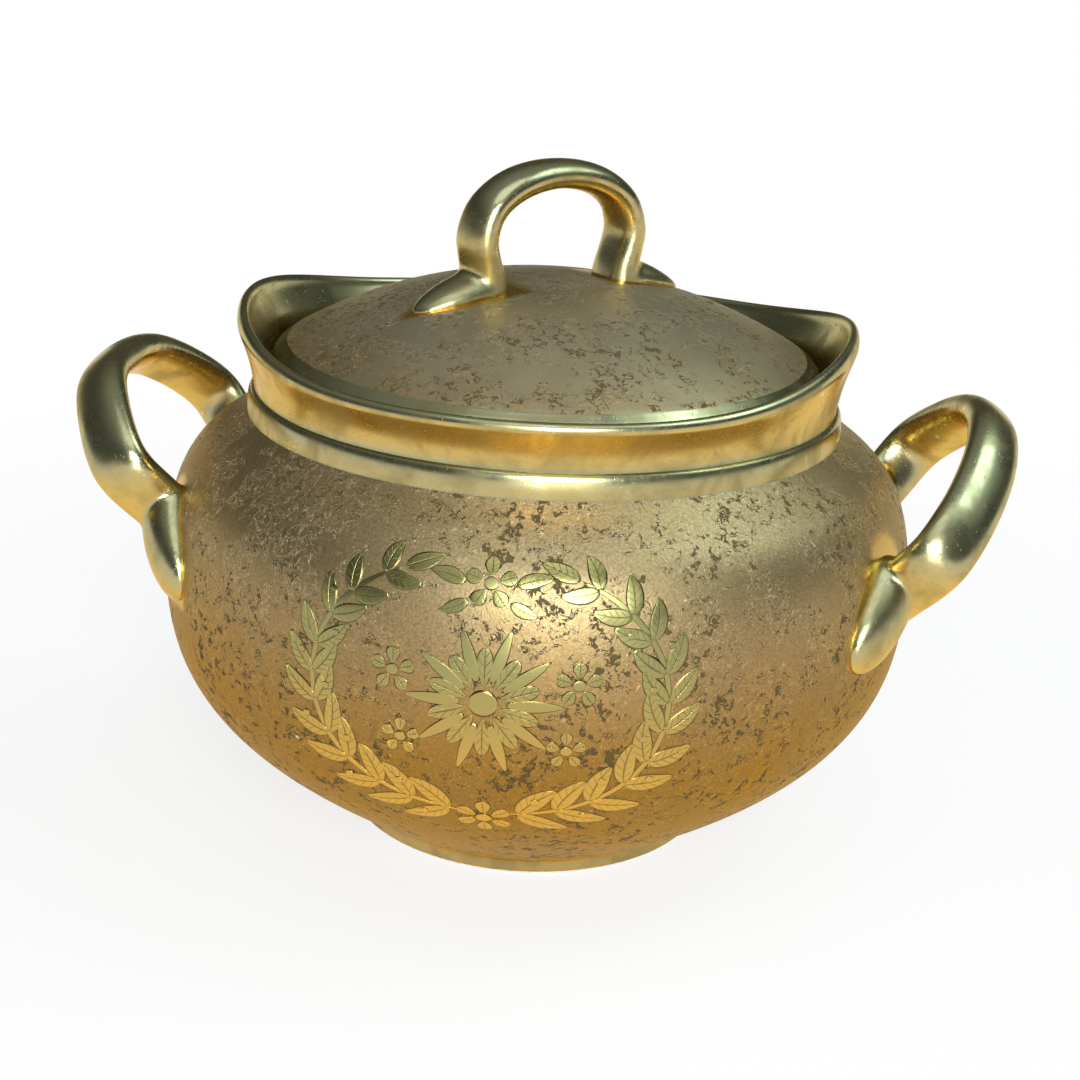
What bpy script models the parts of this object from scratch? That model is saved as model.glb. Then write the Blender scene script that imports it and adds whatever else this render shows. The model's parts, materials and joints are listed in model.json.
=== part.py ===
"""Covered sugar bowl of gold-fired porcelain, standing on its foot ring at z = 0.

The bowl is turned about Z. Its rim rises into two wings, above the handles at +X and -X.
The lid lies on a ledge inside the neck, and the flange below it keeps it in place.
"""

import math

import bmesh
import bpy
from mathutils import Matrix, Vector
from mathutils.geometry import interpolate_bezier

# Sizes are in metres and angles in degrees.

# Foot ring
FOOT_RADIUS = 0.0318
FOOT_RING_WIDTH = 0.0034
FOOT_EDGE = 0.0005
FOOT_RECESS = 0.0026
FOOT_JOIN_RADIUS = 0.03425
FOOT_JOIN_HEIGHT = 0.0040

# Body
BELLY_RADIUS = 0.06373
BELLY_HEIGHT = 0.04434
SHOULDER_RADIUS = 0.0500
SHOULDER_HEIGHT = 0.0719
WALL = 0.0030
BASE_THICKNESS = 0.0034
BASE_ANGLE = 34.6  # slope of the body where it leaves the foot
SHOULDER_ANGLE = 47.0  # slope of the body where it meets the neck

# Neck, rim and the ledge inside them. Each rise is counted from the part below it.
NECK_RADIUS = 0.0489
NECK_RISE = 0.0039
LEDGE_RISE = 0.0022
RIM_RISE = 0.0058
RIM_RADIUS = 0.0515
WING_RISE = 0.0060
WING_POWER = 5  # the higher it is, the narrower the wings
LIP_THICKNESS = 0.0021
LEDGE_RADIUS = 0.0470
LEDGE_WIDTH = 0.0031
LEDGE_THICKNESS = 0.0030

# Lid
LID_PLAY = 0.0013  # between the lid's edge and the neck, all round
LID_EDGE_HEIGHT = 0.0034
LID_BAND_WIDTH = 0.0023
LID_BAND_DROP = 0.0015
DOME_RISE = 0.0113
DOME_POWER = 2.2
LID_WALL = 0.0030
FLANGE_PLAY = 0.0009  # between the flange and the ledge, all round
FLANGE_DEPTH = 0.0050
FLANGE_WALL = 0.0026

# Bowl handles: loops with one foot to the front and one to the back, measured in their leaning plane
HANDLE_HEIGHT = 0.0545  # middle of the feet
HANDLE_STAND = 0.0010  # middle of the feet off the wall
HANDLE_LEAN = 52.5  # slope of the plane
HANDLE_RISE = 0.0253  # middle of the strap beyond the feet
HANDLE_HALF_SPAN = 0.0266
HANDLE_FOOT = 0.0238
HANDLE_THICKNESS = 0.0047
HANDLE_WIDTH = 0.0101

# The keel below each foot, which runs down round the body
HANDLE_TAIL_TURN = 33.5  # from the handle's middle to the keel's tip
HANDLE_TAIL_DROP = 0.0098
HANDLE_TAIL_STAND = 0.0034
HANDLE_TAIL_WIDTH = 0.0112

# Lid handle, measured in its own plane
LOOP_RISE = 0.0171  # middle of the strap above the top of the dome
LOOP_HALF_SPAN = 0.0149
LOOP_FOOT = 0.0128
LOOP_THICKNESS = 0.0050
LOOP_WIDTH = 0.0090
LOOP_TAIL_END = 0.0270
LOOP_TAIL_STAND = 0.0026
LOOP_TURN = 41.5

GAP = 0.0003  # between pieces that touch
SEGMENTS = 60  # round the bowl and the lid
STRAP_SIDES = 16
STRAP_STEPS = 4  # rings between two stations of a strap
TAIL_STEPS = 6  # rings from a loop's foot to the tip of its keel
ROOT_DEPTH = 0.0060  # how far the lid handle's ends reach into the dome before they are cut
HANDLE_ROOT_DEPTH = 0.0130  # how far the bowl handles' ends reach into the wall before they are cut
CREASE_ANGLE = 40.0  # edges sharper than this are shaded as edges

# Sizes that follow from the ones above
NECK_HEIGHT = SHOULDER_HEIGHT + NECK_RISE
LEDGE_HEIGHT = NECK_HEIGHT + LEDGE_RISE
RIM_HEIGHT = LEDGE_HEIGHT + RIM_RISE
LEDGE_BORE = LEDGE_RADIUS - LEDGE_WIDTH
LID_RADIUS = LEDGE_RADIUS - LID_PLAY
LID_BOTTOM = LEDGE_HEIGHT + GAP
DOME_RADIUS = LID_RADIUS - LID_BAND_WIDTH
DOME_BASE = LID_BOTTOM + LID_EDGE_HEIGHT + LID_BAND_DROP
DOME_TOP = DOME_BASE + DOME_RISE
FLANGE_RADIUS = LEDGE_BORE - FLANGE_PLAY

BURNISHED_GOLD = (0.66, 0.44, 0.13, 1.0)
ETCHED_GOLD = (0.42, 0.31, 0.15, 1.0)


def bend(start, start_pull, end_pull, end, count):
    """Points along a Bezier curve from start to end, without its first point."""
    corners = [Vector((*corner, 0.0)) for corner in (start, start_pull, end_pull, end)]
    return [(point.x, point.y) for point in interpolate_bezier(*corners, count + 1)[1:]]


def arc(centre, radius, first, last, count):
    """Points on an arc from the angle first to the angle last, in degrees."""
    angles = (math.radians(first + (last - first) * step / (count - 1)) for step in range(count))
    return [(centre[0] + radius * math.cos(a), centre[1] + radius * math.sin(a)) for a in angles]


def direction(points, index):
    """Which way a row of flat points runs at one of them."""
    before = points[max(index - 1, 0)]
    after = points[min(index + 1, len(points) - 1)]
    return Vector((after[0] - before[0], after[1] - before[1])).normalized()


def offset(outline, distance):
    """The outline moved out by distance, where it climbs. A point on the axis stays on it."""
    moved = []
    for index, (r, z) in enumerate(outline):
        along = direction(outline, index)
        out = along.y * distance if r > 0 else 0.0
        moved.append((r + out, z - along.x * distance))
    return moved


def radius_at(outline, height):
    """Radius of an outline that climbs all the way, at this height."""
    for (r0, z0), (r1, z1) in zip(outline, outline[1:]):
        if z0 <= height <= z1:
            return r0 + (r1 - r0) * (height - z0) / (z1 - z0)
    return outline[-1][0] if height > outline[-1][1] else outline[0][0]


def body_outline():
    """The body's outer side from the foot up to the neck: two curves that meet at the belly."""
    base = (FOOT_JOIN_RADIUS, FOOT_JOIN_HEIGHT)
    belly = (BELLY_RADIUS, BELLY_HEIGHT)
    shoulder = (SHOULDER_RADIUS, SHOULDER_HEIGHT)
    low = BELLY_HEIGHT - FOOT_JOIN_HEIGHT
    high = SHOULDER_HEIGHT - BELLY_HEIGHT
    base_angle = math.radians(BASE_ANGLE)
    shoulder_angle = math.radians(SHOULDER_ANGLE)
    base_pull = 0.63 * low
    shoulder_pull = 0.245 * high
    lower = bend(
        base,
        (base[0] + base_pull * math.cos(base_angle), base[1] + base_pull * math.sin(base_angle)),
        (BELLY_RADIUS, BELLY_HEIGHT - 0.45 * low),
        belly,
        8,
    )
    upper = bend(
        belly,
        (BELLY_RADIUS, BELLY_HEIGHT + 0.82 * high),
        (
            shoulder[0] + shoulder_pull * math.cos(shoulder_angle),
            shoulder[1] - shoulder_pull * math.sin(shoulder_angle),
        ),
        shoulder,
        7,
    )
    return [base] + lower + upper


def dome_height(radius):
    """Height of the dome's outer side at this distance from its middle."""
    return DOME_TOP - DOME_RISE * (abs(radius) / DOME_RADIUS) ** DOME_POWER


def dome_outline():
    """The dome's outer side from its edge up to the axis."""
    steps = 10
    radii = [DOME_RADIUS * step / steps for step in range(steps, -1, -1)]
    return [(radius, dome_height(radius)) for radius in radii]


def bowl_outline():
    """The whole section of the bowl: under the base, up the outside, over the lip and down inside."""
    ring_inside = FOOT_RADIUS - FOOT_RING_WIDTH
    foot = [
        (0.0, FOOT_RECESS),
        (ring_inside - FOOT_RECESS, FOOT_RECESS),
        (ring_inside, 0.0),
        (FOOT_RADIUS - FOOT_EDGE, 0.0),
        (FOOT_RADIUS, FOOT_EDGE),
    ]
    foot_waist = (FOOT_RADIUS, 0.7 * FOOT_JOIN_HEIGHT)
    foot += bend(foot[-1], foot_waist, foot_waist, (FOOT_JOIN_RADIUS, FOOT_JOIN_HEIGHT), 3)[:-1]
    body = body_outline()
    neck = bend(
        body[-1],
        (SHOULDER_RADIUS, SHOULDER_HEIGHT + 0.3 * (NECK_HEIGHT - SHOULDER_HEIGHT)),
        (SHOULDER_RADIUS, NECK_HEIGHT),
        (NECK_RADIUS, NECK_HEIGHT),
        3,
    )
    lip_radius = LIP_THICKNESS / 2
    lip_centre = (RIM_RADIUS - lip_radius, RIM_HEIGHT - lip_radius)
    lip = arc(lip_centre, lip_radius, -20, 170, 6)
    cove_height = lip[0][1] - NECK_HEIGHT
    cove = bend(
        neck[-1],
        (NECK_RADIUS, NECK_HEIGHT + 0.45 * cove_height),
        (RIM_RADIUS - lip_radius, NECK_HEIGHT + 0.75 * cove_height),
        lip[0],
        4,
    )[:-1]
    mouth_height = lip[-1][1] - LEDGE_HEIGHT
    mouth = bend(
        lip[-1],
        (lip[-1][0] - 0.3 * mouth_height, LEDGE_HEIGHT + 0.6 * mouth_height),
        (LEDGE_RADIUS, LEDGE_HEIGHT + 0.5 * mouth_height),
        (LEDGE_RADIUS, LEDGE_HEIGHT),
        3,
    )
    ledge = [(LEDGE_BORE, LEDGE_HEIGHT), (LEDGE_BORE, LEDGE_HEIGHT - LEDGE_THICKNESS)]
    inside = offset(body, -WALL)[::-1]
    floor = [(0.0, FOOT_RECESS + BASE_THICKNESS)]
    return foot + body + neck + cove + lip + mouth + ledge + inside + floor


def lid_outline():
    """The whole section of the lid: down the dome, round the edge, round the flange and up inside."""
    dome = dome_outline()[::-1]
    edge_top = DOME_BASE - LID_BAND_DROP
    edge = bend(
        dome[-1],
        (LID_RADIUS - 0.4 * LID_BAND_WIDTH, edge_top + 0.3 * LID_BAND_DROP),
        (LID_RADIUS, edge_top + 0.1 * LID_BAND_DROP),
        (LID_RADIUS, edge_top - 0.3 * LID_EDGE_HEIGHT),
        4,
    )
    edge_round = 0.15 * LID_EDGE_HEIGHT
    inner_radius = FLANGE_RADIUS - FLANGE_WALL
    under = [
        (LID_RADIUS, LID_BOTTOM + edge_round),
        (LID_RADIUS - edge_round, LID_BOTTOM),
        (FLANGE_RADIUS, LID_BOTTOM),
        (FLANGE_RADIUS, LID_BOTTOM - 0.8 * FLANGE_DEPTH),
        (FLANGE_RADIUS - 0.25 * FLANGE_WALL, LID_BOTTOM - FLANGE_DEPTH),
        (inner_radius, LID_BOTTOM - FLANGE_DEPTH),
    ]
    steps = 8
    radii = [inner_radius * step / steps for step in range(steps, -1, -1)]
    inside = [(radius, dome_height(radius) - LID_WALL) for radius in radii]
    return dome + edge + under + inside


def turned(outline):
    """A bmesh of the outline turned about Z. Both its ends lie on the axis."""
    mesh = bmesh.new()
    points = [mesh.verts.new((r, 0.0, z)) for r, z in outline]
    edges = [mesh.edges.new(pair) for pair in zip(points, points[1:])]
    bmesh.ops.spin(
        mesh,
        geom=points + edges,
        cent=(0, 0, 0),
        axis=(0, 0, 1),
        angle=math.tau,
        steps=SEGMENTS,
        use_merge=True,
    )
    bmesh.ops.remove_doubles(mesh, verts=mesh.verts, dist=1e-6)
    bmesh.ops.recalc_face_normals(mesh, faces=mesh.faces)
    return mesh


def raise_wings(mesh):
    """Lifts the rim above the ledge: most of all at +X and -X, and not at the front and back."""
    for point in mesh.verts:
        share = (point.co.z - LEDGE_HEIGHT) / (RIM_HEIGHT - LEDGE_HEIGHT)
        if share > 0:
            sideways = abs(point.co.x) / math.hypot(point.co.x, point.co.y)
            point.co.z += min(share, 1.0) * WING_RISE * sideways**WING_POWER


def through(stations):
    """A smooth run of stations through the given ones, by Catmull and Rom's rule."""
    padded = [stations[0]] + stations + [stations[-1]]
    run = []
    for a, b, c, d in zip(padded, padded[1:], padded[2:], padded[3:]):
        for step in range(STRAP_STEPS):
            t = step / STRAP_STEPS
            run.append(
                [
                    q + 0.5 * t * (r - p + t * (2 * p - 5 * q + 4 * r - s + t * (3 * (q - r) + s - p)))
                    for p, q, r, s in zip(a, b, c, d)
                ]
            )
    return run + [list(stations[-1])]


def section(thickness, width, power):
    """Points round a superellipse: a power under 1 squares it, over 1 sharpens it."""
    points = []
    for side in range(STRAP_SIDES):
        angle = math.tau * side / STRAP_SIDES
        across, sideways = math.cos(angle), math.sin(angle)
        points.append(
            (
                math.copysign(abs(across) ** power, across) * thickness / 2,
                math.copysign(abs(sideways) ** power, sideways) * width / 2,
            )
        )
    return points


def loft(rings):
    """A bmesh through rings of points, closed at both its ends."""
    mesh = bmesh.new()
    loops = []
    for ring in rings:
        points = [mesh.verts.new(point) for point in ring]
        loops.append([mesh.edges.new(pair) for pair in zip(points, points[1:] + points[:1])])
    for first, second in zip(loops, loops[1:]):
        bmesh.ops.bridge_loops(mesh, edges=first + second)
    bmesh.ops.holes_fill(mesh, edges=loops[0] + loops[-1], sides=STRAP_SIDES)
    bmesh.ops.recalc_face_normals(mesh, faces=mesh.faces)
    return mesh


def strap(stations, power):
    """A bmesh of a strap in the XZ plane. A station is its x, z, thickness in the plane and width in Y."""
    rings = []
    for index, (x, z, thickness, width) in enumerate(stations):
        along = direction(stations, index)
        rings.append(
            [
                (x - along.y * out, sideways, z + along.x * out)
                for out, sideways in section(thickness, width, power)
            ]
        )
    return loft(rings)


def loop_over(left, crown):
    """The stations of a whole loop, from those of its left half and the one at its crown."""
    return left + [crown] + [(-x, z, thickness, width) for x, z, thickness, width in reversed(left)]


def handle_stations():
    """The bowl handle's loop in its own plane, from inside the wall at one foot to the other."""
    thick, wide = HANDLE_THICKNESS, HANDLE_WIDTH
    left = [
        (-HANDLE_FOOT, -HANDLE_ROOT_DEPTH, thick, 0.5 * wide),
        (-HANDLE_FOOT, -0.5 * HANDLE_ROOT_DEPTH, thick, 0.7 * wide),
        (-HANDLE_FOOT, 0.0, 1.1 * thick, 0.95 * wide),
        (-HANDLE_HALF_SPAN, 0.44 * HANDLE_RISE, thick, wide),
        (-0.54 * HANDLE_HALF_SPAN, 0.88 * HANDLE_RISE, 1.11 * thick, 0.95 * wide),
    ]
    return loop_over(left, (0.0, HANDLE_RISE, 1.22 * thick, 0.91 * wide))


def handle_base():
    """Distance from the axis to the middle between a handle's feet."""
    wall = radius_at(body_outline(), HANDLE_HEIGHT)
    return math.sqrt(wall**2 - HANDLE_FOOT**2) + HANDLE_STAND


def leaned(mesh):
    """The mesh moved from the XZ plane to the right handle's, which leans out from the body."""
    lean = math.radians(HANDLE_LEAN)
    slope, level = math.sin(lean), math.cos(lean)
    turn = Matrix(((0.0, -slope, level), (1.0, 0.0, 0.0), (0.0, level, slope)))
    mesh.transform(Matrix.Translation((handle_base(), 0.0, HANDLE_HEIGHT)) @ turn.to_4x4())
    return mesh


def handle_tail(side):
    """A bmesh of the keel below one foot of the right handle, which follows the body to its tip."""
    outline = body_outline()
    first = math.degrees(math.atan2(HANDLE_FOOT, handle_base()))
    back = 2  # rings on the foot's other side, where the keel is rounded off
    centres, outward = [], []
    for step in range(-back, TAIL_STEPS + 1):
        share = step / TAIL_STEPS
        height = HANDLE_HEIGHT - HANDLE_TAIL_DROP * share
        turn = math.radians(side * (first + (HANDLE_TAIL_TURN - first) * share))
        radius = radius_at(outline, height)
        slope = (radius_at(outline, height + GAP) - radius_at(outline, height - GAP)) / (2 * GAP)
        centres.append(Vector((radius * math.cos(turn), radius * math.sin(turn), height)))
        outward.append(Vector((math.cos(turn), math.sin(turn), -slope)).normalized())
    rings = []
    for index, (centre, normal) in enumerate(zip(centres, outward)):
        share = (index - back) / TAIL_STEPS
        ahead = centres[min(index + 1, len(centres) - 1)] - centres[max(index - 1, 0)]
        across = normal.cross(ahead).normalized()
        fade = math.sqrt(1 - (index / back - 1) ** 2) if share < 0 else 1.0
        stand = HANDLE_TAIL_STAND * fade * (1 - max(share, 0.0)) ** 1.3 + GAP
        width = HANDLE_TAIL_WIDTH * fade * (1 - max(share, 0.0) ** 1.8) + GAP
        rings.append(
            [centre + normal * out + across * sideways for out, sideways in section(2 * stand, width, 1.3)]
        )
    return loft(rings)


def lid_handle_stations():
    """The lid's loop, from inside the dome on the left to inside the dome on the right."""
    thick, wide = LOOP_THICKNESS, LOOP_WIDTH
    left = [
        (-LOOP_FOOT, DOME_TOP - ROOT_DEPTH, 1.6 * thick, 1.3 * wide),
        (-LOOP_FOOT, DOME_TOP, 1.25 * thick, 1.05 * wide),
        (-LOOP_HALF_SPAN, DOME_TOP + 0.42 * LOOP_RISE, 1.04 * thick, 1.03 * wide),
        (-0.66 * LOOP_HALF_SPAN, DOME_TOP + 0.86 * LOOP_RISE, thick, wide),
    ]
    return loop_over(left, (0.0, DOME_TOP + LOOP_RISE, 0.96 * thick, 0.98 * wide))


def lid_tail(side):
    """A bmesh of the keel beside one foot of the lid's loop, which runs out along the dome."""
    stations = []
    for step in range(TAIL_STEPS + 1):
        share = step / TAIL_STEPS
        radius = LOOP_FOOT + (LOOP_TAIL_END - LOOP_FOOT) * share
        stand = LOOP_TAIL_STAND * (1 - share) ** 1.3 + GAP
        width = 1.1 * LOOP_WIDTH * (1 - share**1.8) + GAP
        stations.append((side * radius, dome_height(radius), 2 * stand, width))
    return strap(stations, 1.3)


def space_below(outline, base):
    """The section of all that lies below the outline, moved out by the gap, down to the height base."""
    raised = offset(outline, GAP)
    top = [(0.0, raised[-1][1])] if raised[-1][0] > 0 else []
    return [(0.0, base), (raised[0][0], base)] + raised + top


def piece(name, mesh, material, parent):
    """A smooth-shaded object of the mesh, in world coordinates, with its origin at its parent's."""
    data = bpy.data.meshes.new(name)
    mesh.transform(Matrix.Translation(-parent.location))
    mesh.to_mesh(data)
    mesh.free()
    data.shade_smooth()
    data.set_sharp_from_angle(angle=math.radians(CREASE_ANGLE))
    data.materials.append(material)
    made = bpy.data.objects.new(name, data)
    made.parent = parent
    bpy.context.scene.collection.objects.link(made)
    return made


def helper(name, mesh, parent):
    """A cutter or a shape to join, which isn't a piece by itself."""
    made = piece(name, mesh, None, parent)
    made.hide_render = True
    made.display_type = "WIRE"
    return made


def combine(target, other, operation):
    """Joins the other object to the target, or cuts it away."""
    modifier = target.modifiers.new(f"{operation.lower()} {other.name}", "BOOLEAN")
    modifier.operation = operation
    modifier.object = other
    modifier.solver = "EXACT"


def finish(name, colour, roughness, metallic):
    """A material with one colour and one gloss."""
    material = bpy.data.materials.new(name)
    material.use_nodes = True
    shader = material.node_tree.nodes["Principled BSDF"]
    shader.inputs["Base Color"].default_value = colour
    shader.inputs["Roughness"].default_value = roughness
    shader.inputs["Metallic"].default_value = metallic
    return material


def group(name, height):
    """An empty on the axis, which its pieces are parented to."""
    made = bpy.data.objects.new(name, None)
    made.location = (0.0, 0.0, height)
    bpy.context.scene.collection.objects.link(made)
    return made


def mirrored(mesh):
    """The mesh on the other side of the YZ plane, with its faces still pointing out."""
    mesh.transform(Matrix.Diagonal((-1.0, 1.0, 1.0, 1.0)))
    bmesh.ops.reverse_faces(mesh, faces=mesh.faces)
    return mesh


def build_bowl(parent):
    """The bowl, cast in one with its foot, neck, rim and ledge."""
    mesh = turned(bowl_outline())
    raise_wings(mesh)
    piece("bowl", mesh, finish("bowl gold", ETCHED_GOLD, 0.42, 0.9), parent)


def build_bowl_handles(parent):
    """The two handles, each a loop with its two keels, cut to the body's surface."""
    cutter = helper("body space", turned(space_below(body_outline(), 0.0)), parent)
    for name, is_left in (("handle_right", False), ("handle_left", True)):
        meshes = [leaned(strap(through(handle_stations()), 0.8)), handle_tail(-1), handle_tail(1)]
        if is_left:
            meshes = [mirrored(mesh) for mesh in meshes]
        handle = piece(name, meshes[0], finish(f"{name} gold", BURNISHED_GOLD, 0.22, 1.0), parent)
        combine(handle, helper(f"{name} front keel", meshes[1], parent), "UNION")
        combine(handle, helper(f"{name} back keel", meshes[2], parent), "UNION")
        combine(handle, cutter, "DIFFERENCE")


def build_lid(parent):
    """The lid, cast in one with its edge and flange."""
    piece("lid", turned(lid_outline()), finish("lid gold", ETCHED_GOLD, 0.42, 0.9), parent)


def build_lid_handle(parent):
    """The loop on the lid with its two keels, cut to the dome and turned about Z."""
    cutter = helper("dome space", turned(space_below(dome_outline(), DOME_BASE - ROOT_DEPTH)), parent)
    handle = piece(
        "lid_handle",
        strap(through(lid_handle_stations()), 0.85),
        finish("lid handle gold", BURNISHED_GOLD, 0.22, 1.0),
        parent,
    )
    for name, side in (("right keel", 1), ("left keel", -1)):
        keel = helper(name, lid_tail(side), parent)
        keel.rotation_euler.z = math.radians(LOOP_TURN)
        combine(handle, keel, "UNION")
    combine(handle, cutter, "DIFFERENCE")
    handle.rotation_euler.z = math.radians(LOOP_TURN)


def main():
    """Clears the scene and builds the bowl and the lid."""
    for old in list(bpy.data.objects):
        bpy.data.objects.remove(old, do_unlink=True)
    bowl = group("bowl body", 0.0)
    build_bowl(bowl)
    build_bowl_handles(bowl)
    lid = group("lid body", LID_BOTTOM)
    build_lid(lid)
    build_lid_handle(lid)


main()
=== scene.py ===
"""Covered sugar bowl of gold-fired porcelain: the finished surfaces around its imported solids.

Sizes are in metres and angles in degrees unless a name says otherwise. Every piece is a grid of
points worked out with numpy and closed at both ends, with its place in its mesh.
"""

import json
import logging
import math
from collections.abc import Callable
from dataclasses import dataclass, field
from enum import Enum
from functools import partial

import bpy
import numpy as np
from mathutils import Matrix, Vector

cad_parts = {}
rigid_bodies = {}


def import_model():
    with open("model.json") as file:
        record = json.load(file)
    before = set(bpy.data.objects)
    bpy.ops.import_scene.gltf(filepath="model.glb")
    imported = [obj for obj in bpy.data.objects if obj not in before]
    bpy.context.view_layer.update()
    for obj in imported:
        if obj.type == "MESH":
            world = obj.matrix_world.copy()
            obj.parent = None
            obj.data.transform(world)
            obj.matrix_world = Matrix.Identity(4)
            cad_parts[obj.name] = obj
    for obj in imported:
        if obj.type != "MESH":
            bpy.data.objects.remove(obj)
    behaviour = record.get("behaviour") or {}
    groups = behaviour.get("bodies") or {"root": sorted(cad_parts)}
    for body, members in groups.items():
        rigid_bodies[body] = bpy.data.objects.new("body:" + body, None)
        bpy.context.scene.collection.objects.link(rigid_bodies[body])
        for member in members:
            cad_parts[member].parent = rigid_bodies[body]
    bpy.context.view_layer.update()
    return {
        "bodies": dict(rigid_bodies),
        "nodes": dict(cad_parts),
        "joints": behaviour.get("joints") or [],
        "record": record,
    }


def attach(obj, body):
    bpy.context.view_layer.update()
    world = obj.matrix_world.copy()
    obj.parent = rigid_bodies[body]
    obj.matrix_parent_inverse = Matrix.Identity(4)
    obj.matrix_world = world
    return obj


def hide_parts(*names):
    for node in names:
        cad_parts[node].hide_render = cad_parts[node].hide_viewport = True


Colour = tuple[float, float, float, float]
Pair = tuple[float, float]
Span = tuple[float, ...]  # where a smooth step starts and ends, then its two results if not 0 and 1
Socket = bpy.types.NodeSocket

LOG = logging.getLogger("sugar_bowl")
MM = 0.001
TINY = 1e-12


class Zone(Enum):
    """What a stretch of a wall is finished in. Its value is the wall's material number."""

    ETCHED = 0
    BURNISHED = 1
    GLAZED = 2


class Side(Enum):
    """Which side of the bowl a handle is on. Its value is the sign of X there."""

    RIGHT = 1
    LEFT = -1


# ---------------------------------------------------------------------------------------------
# Curves and grids


def bend(start: Pair, start_pull: Pair, end_pull: Pair, end: Pair, count: int) -> np.ndarray:
    """A Bezier curve without its first point: the cubic blend of two ends and two pulls.

    Args:
        start, start_pull, end_pull, end: radius and height of the four control points.
        count: how many points to give.

    Returns:
        An array of count points by two.
    """
    t = np.linspace(0.0, 1.0, count + 1)[1:, None]
    s = 1.0 - t
    a, b, c, d = (np.asarray(corner, float) for corner in (start, start_pull, end_pull, end))
    return s**3 * a + 3 * s**2 * t * b + 3 * s * t**2 * c + t**3 * d


def arc(centre: Pair, radius: float, first: float, last: float, count: int) -> np.ndarray:
    """Points on a circle's arc: the centre plus the radius times cosine and sine of the angle.

    Args:
        centre: radius and height of the middle.
        radius: the arc's own radius.
        first, last: its end angles.
        count: how many points to give.

    Returns:
        An array of count points by two.
    """
    angle = np.radians(np.linspace(first, last, count))
    return np.stack([centre[0] + radius * np.cos(angle), centre[1] + radius * np.sin(angle)], 1)


def through(stations: np.ndarray, steps: int) -> np.ndarray:
    """A smooth run through stations by Catmull and Rom's cubic, whose slope at each is half the
    difference of its neighbours.

    Args:
        stations: rows of any numbers, such as place, thickness and width.
        steps: how many rows to give between two stations.

    Returns:
        An array of rows like the stations.
    """
    padded = np.vstack([stations[:1], stations, stations[-1:]])
    p, q, r, s = (padded[i : len(padded) - 3 + i, None, :] for i in range(4))
    t = (np.arange(steps) / steps)[None, :, None]
    run = q + 0.5 * t * (r - p + t * (2 * p - 5 * q + 4 * r - s + t * (3 * (q - r) + s - p)))
    return np.vstack([run.reshape(-1, stations.shape[1]), stations[-1:]])


def mirrored(left: list[tuple], crown: tuple, steps: int) -> np.ndarray:
    """A smooth run over a loop's left stations, its crown and the left stations turned round.

    Args:
        left: rows of X, Z, thickness and width, from the left root up.
        crown: the row at the top.
        steps: how many rows to give between two of them.

    Returns:
        An array of rows like these.
    """
    right = [(-x, *rest) for x, *rest in reversed(left)]
    return through(np.array([*left, crown, *right]), steps)


def along_line(line: np.ndarray) -> np.ndarray:
    """Unit tangents of a row of points: each is the difference of its two neighbours, normalised."""
    tangent = np.gradient(line, axis=0)
    return tangent / np.maximum(np.linalg.norm(tangent, axis=1, keepdims=True), TINY)


def step_between(value: np.ndarray, low: float, high: float) -> np.ndarray:
    """A smooth step: none below low, one above high, and three squares less two cubes between."""
    t = np.clip((value - low) / (high - low), 0.0, 1.0)
    return t * t * (3.0 - 2.0 * t)


@dataclass
class Tube:
    """A closed surface: rings of points over a grid, with one point that closes each end."""

    rings: np.ndarray
    start: np.ndarray
    end: np.ndarray
    values: dict[str, np.ndarray] = field(default_factory=dict)

    @classmethod
    def capped(cls, rings: np.ndarray) -> "Tube":
        """A tube whose end points are the means of its end rings."""
        return cls(rings, rings[0].mean(0), rings[-1].mean(0))

    def moved(self, change: Callable[[np.ndarray], np.ndarray]) -> "Tube":
        """The same tube, with every array of its points put through a function."""
        return Tube(change(self.rings), change(self.start), change(self.end), self.values)

    def vertices(self) -> np.ndarray:
        """All points: the rings row by row, then the two end points."""
        return np.vstack([self.rings.reshape(-1, 3), self.start[None], self.end[None]])

    def faces(self) -> tuple[np.ndarray, np.ndarray]:
        """The grid's four-sided faces and the end caps' triangles.

        Returns:
            Two arrays of vertex numbers, turned so that the volume they close is positive.
        """
        rows, columns = self.rings.shape[:2]
        row = columns * np.arange(rows - 1)[:, None]
        near = np.arange(columns)
        far = (near + 1) % columns
        corners = [row + near, row + far, row + columns + far, row + columns + near]
        quads = np.stack(corners, -1).reshape(-1, 4)
        start, top = np.full(columns, rows * columns), (rows - 1) * columns
        caps = np.vstack(
            [np.stack([start, far, near], 1), np.stack([start + 1, top + near, top + far], 1)]
        )
        points = self.vertices()
        triangles = np.vstack([quads[:, :3], quads[:, [0, 2, 3]], caps])
        a, b, c = (points[triangles[:, i]] for i in range(3))
        if np.einsum("ij,ij->", a, np.cross(b, c)) < 0:
            return quads[:, ::-1], caps[:, ::-1]
        return quads, caps


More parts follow.
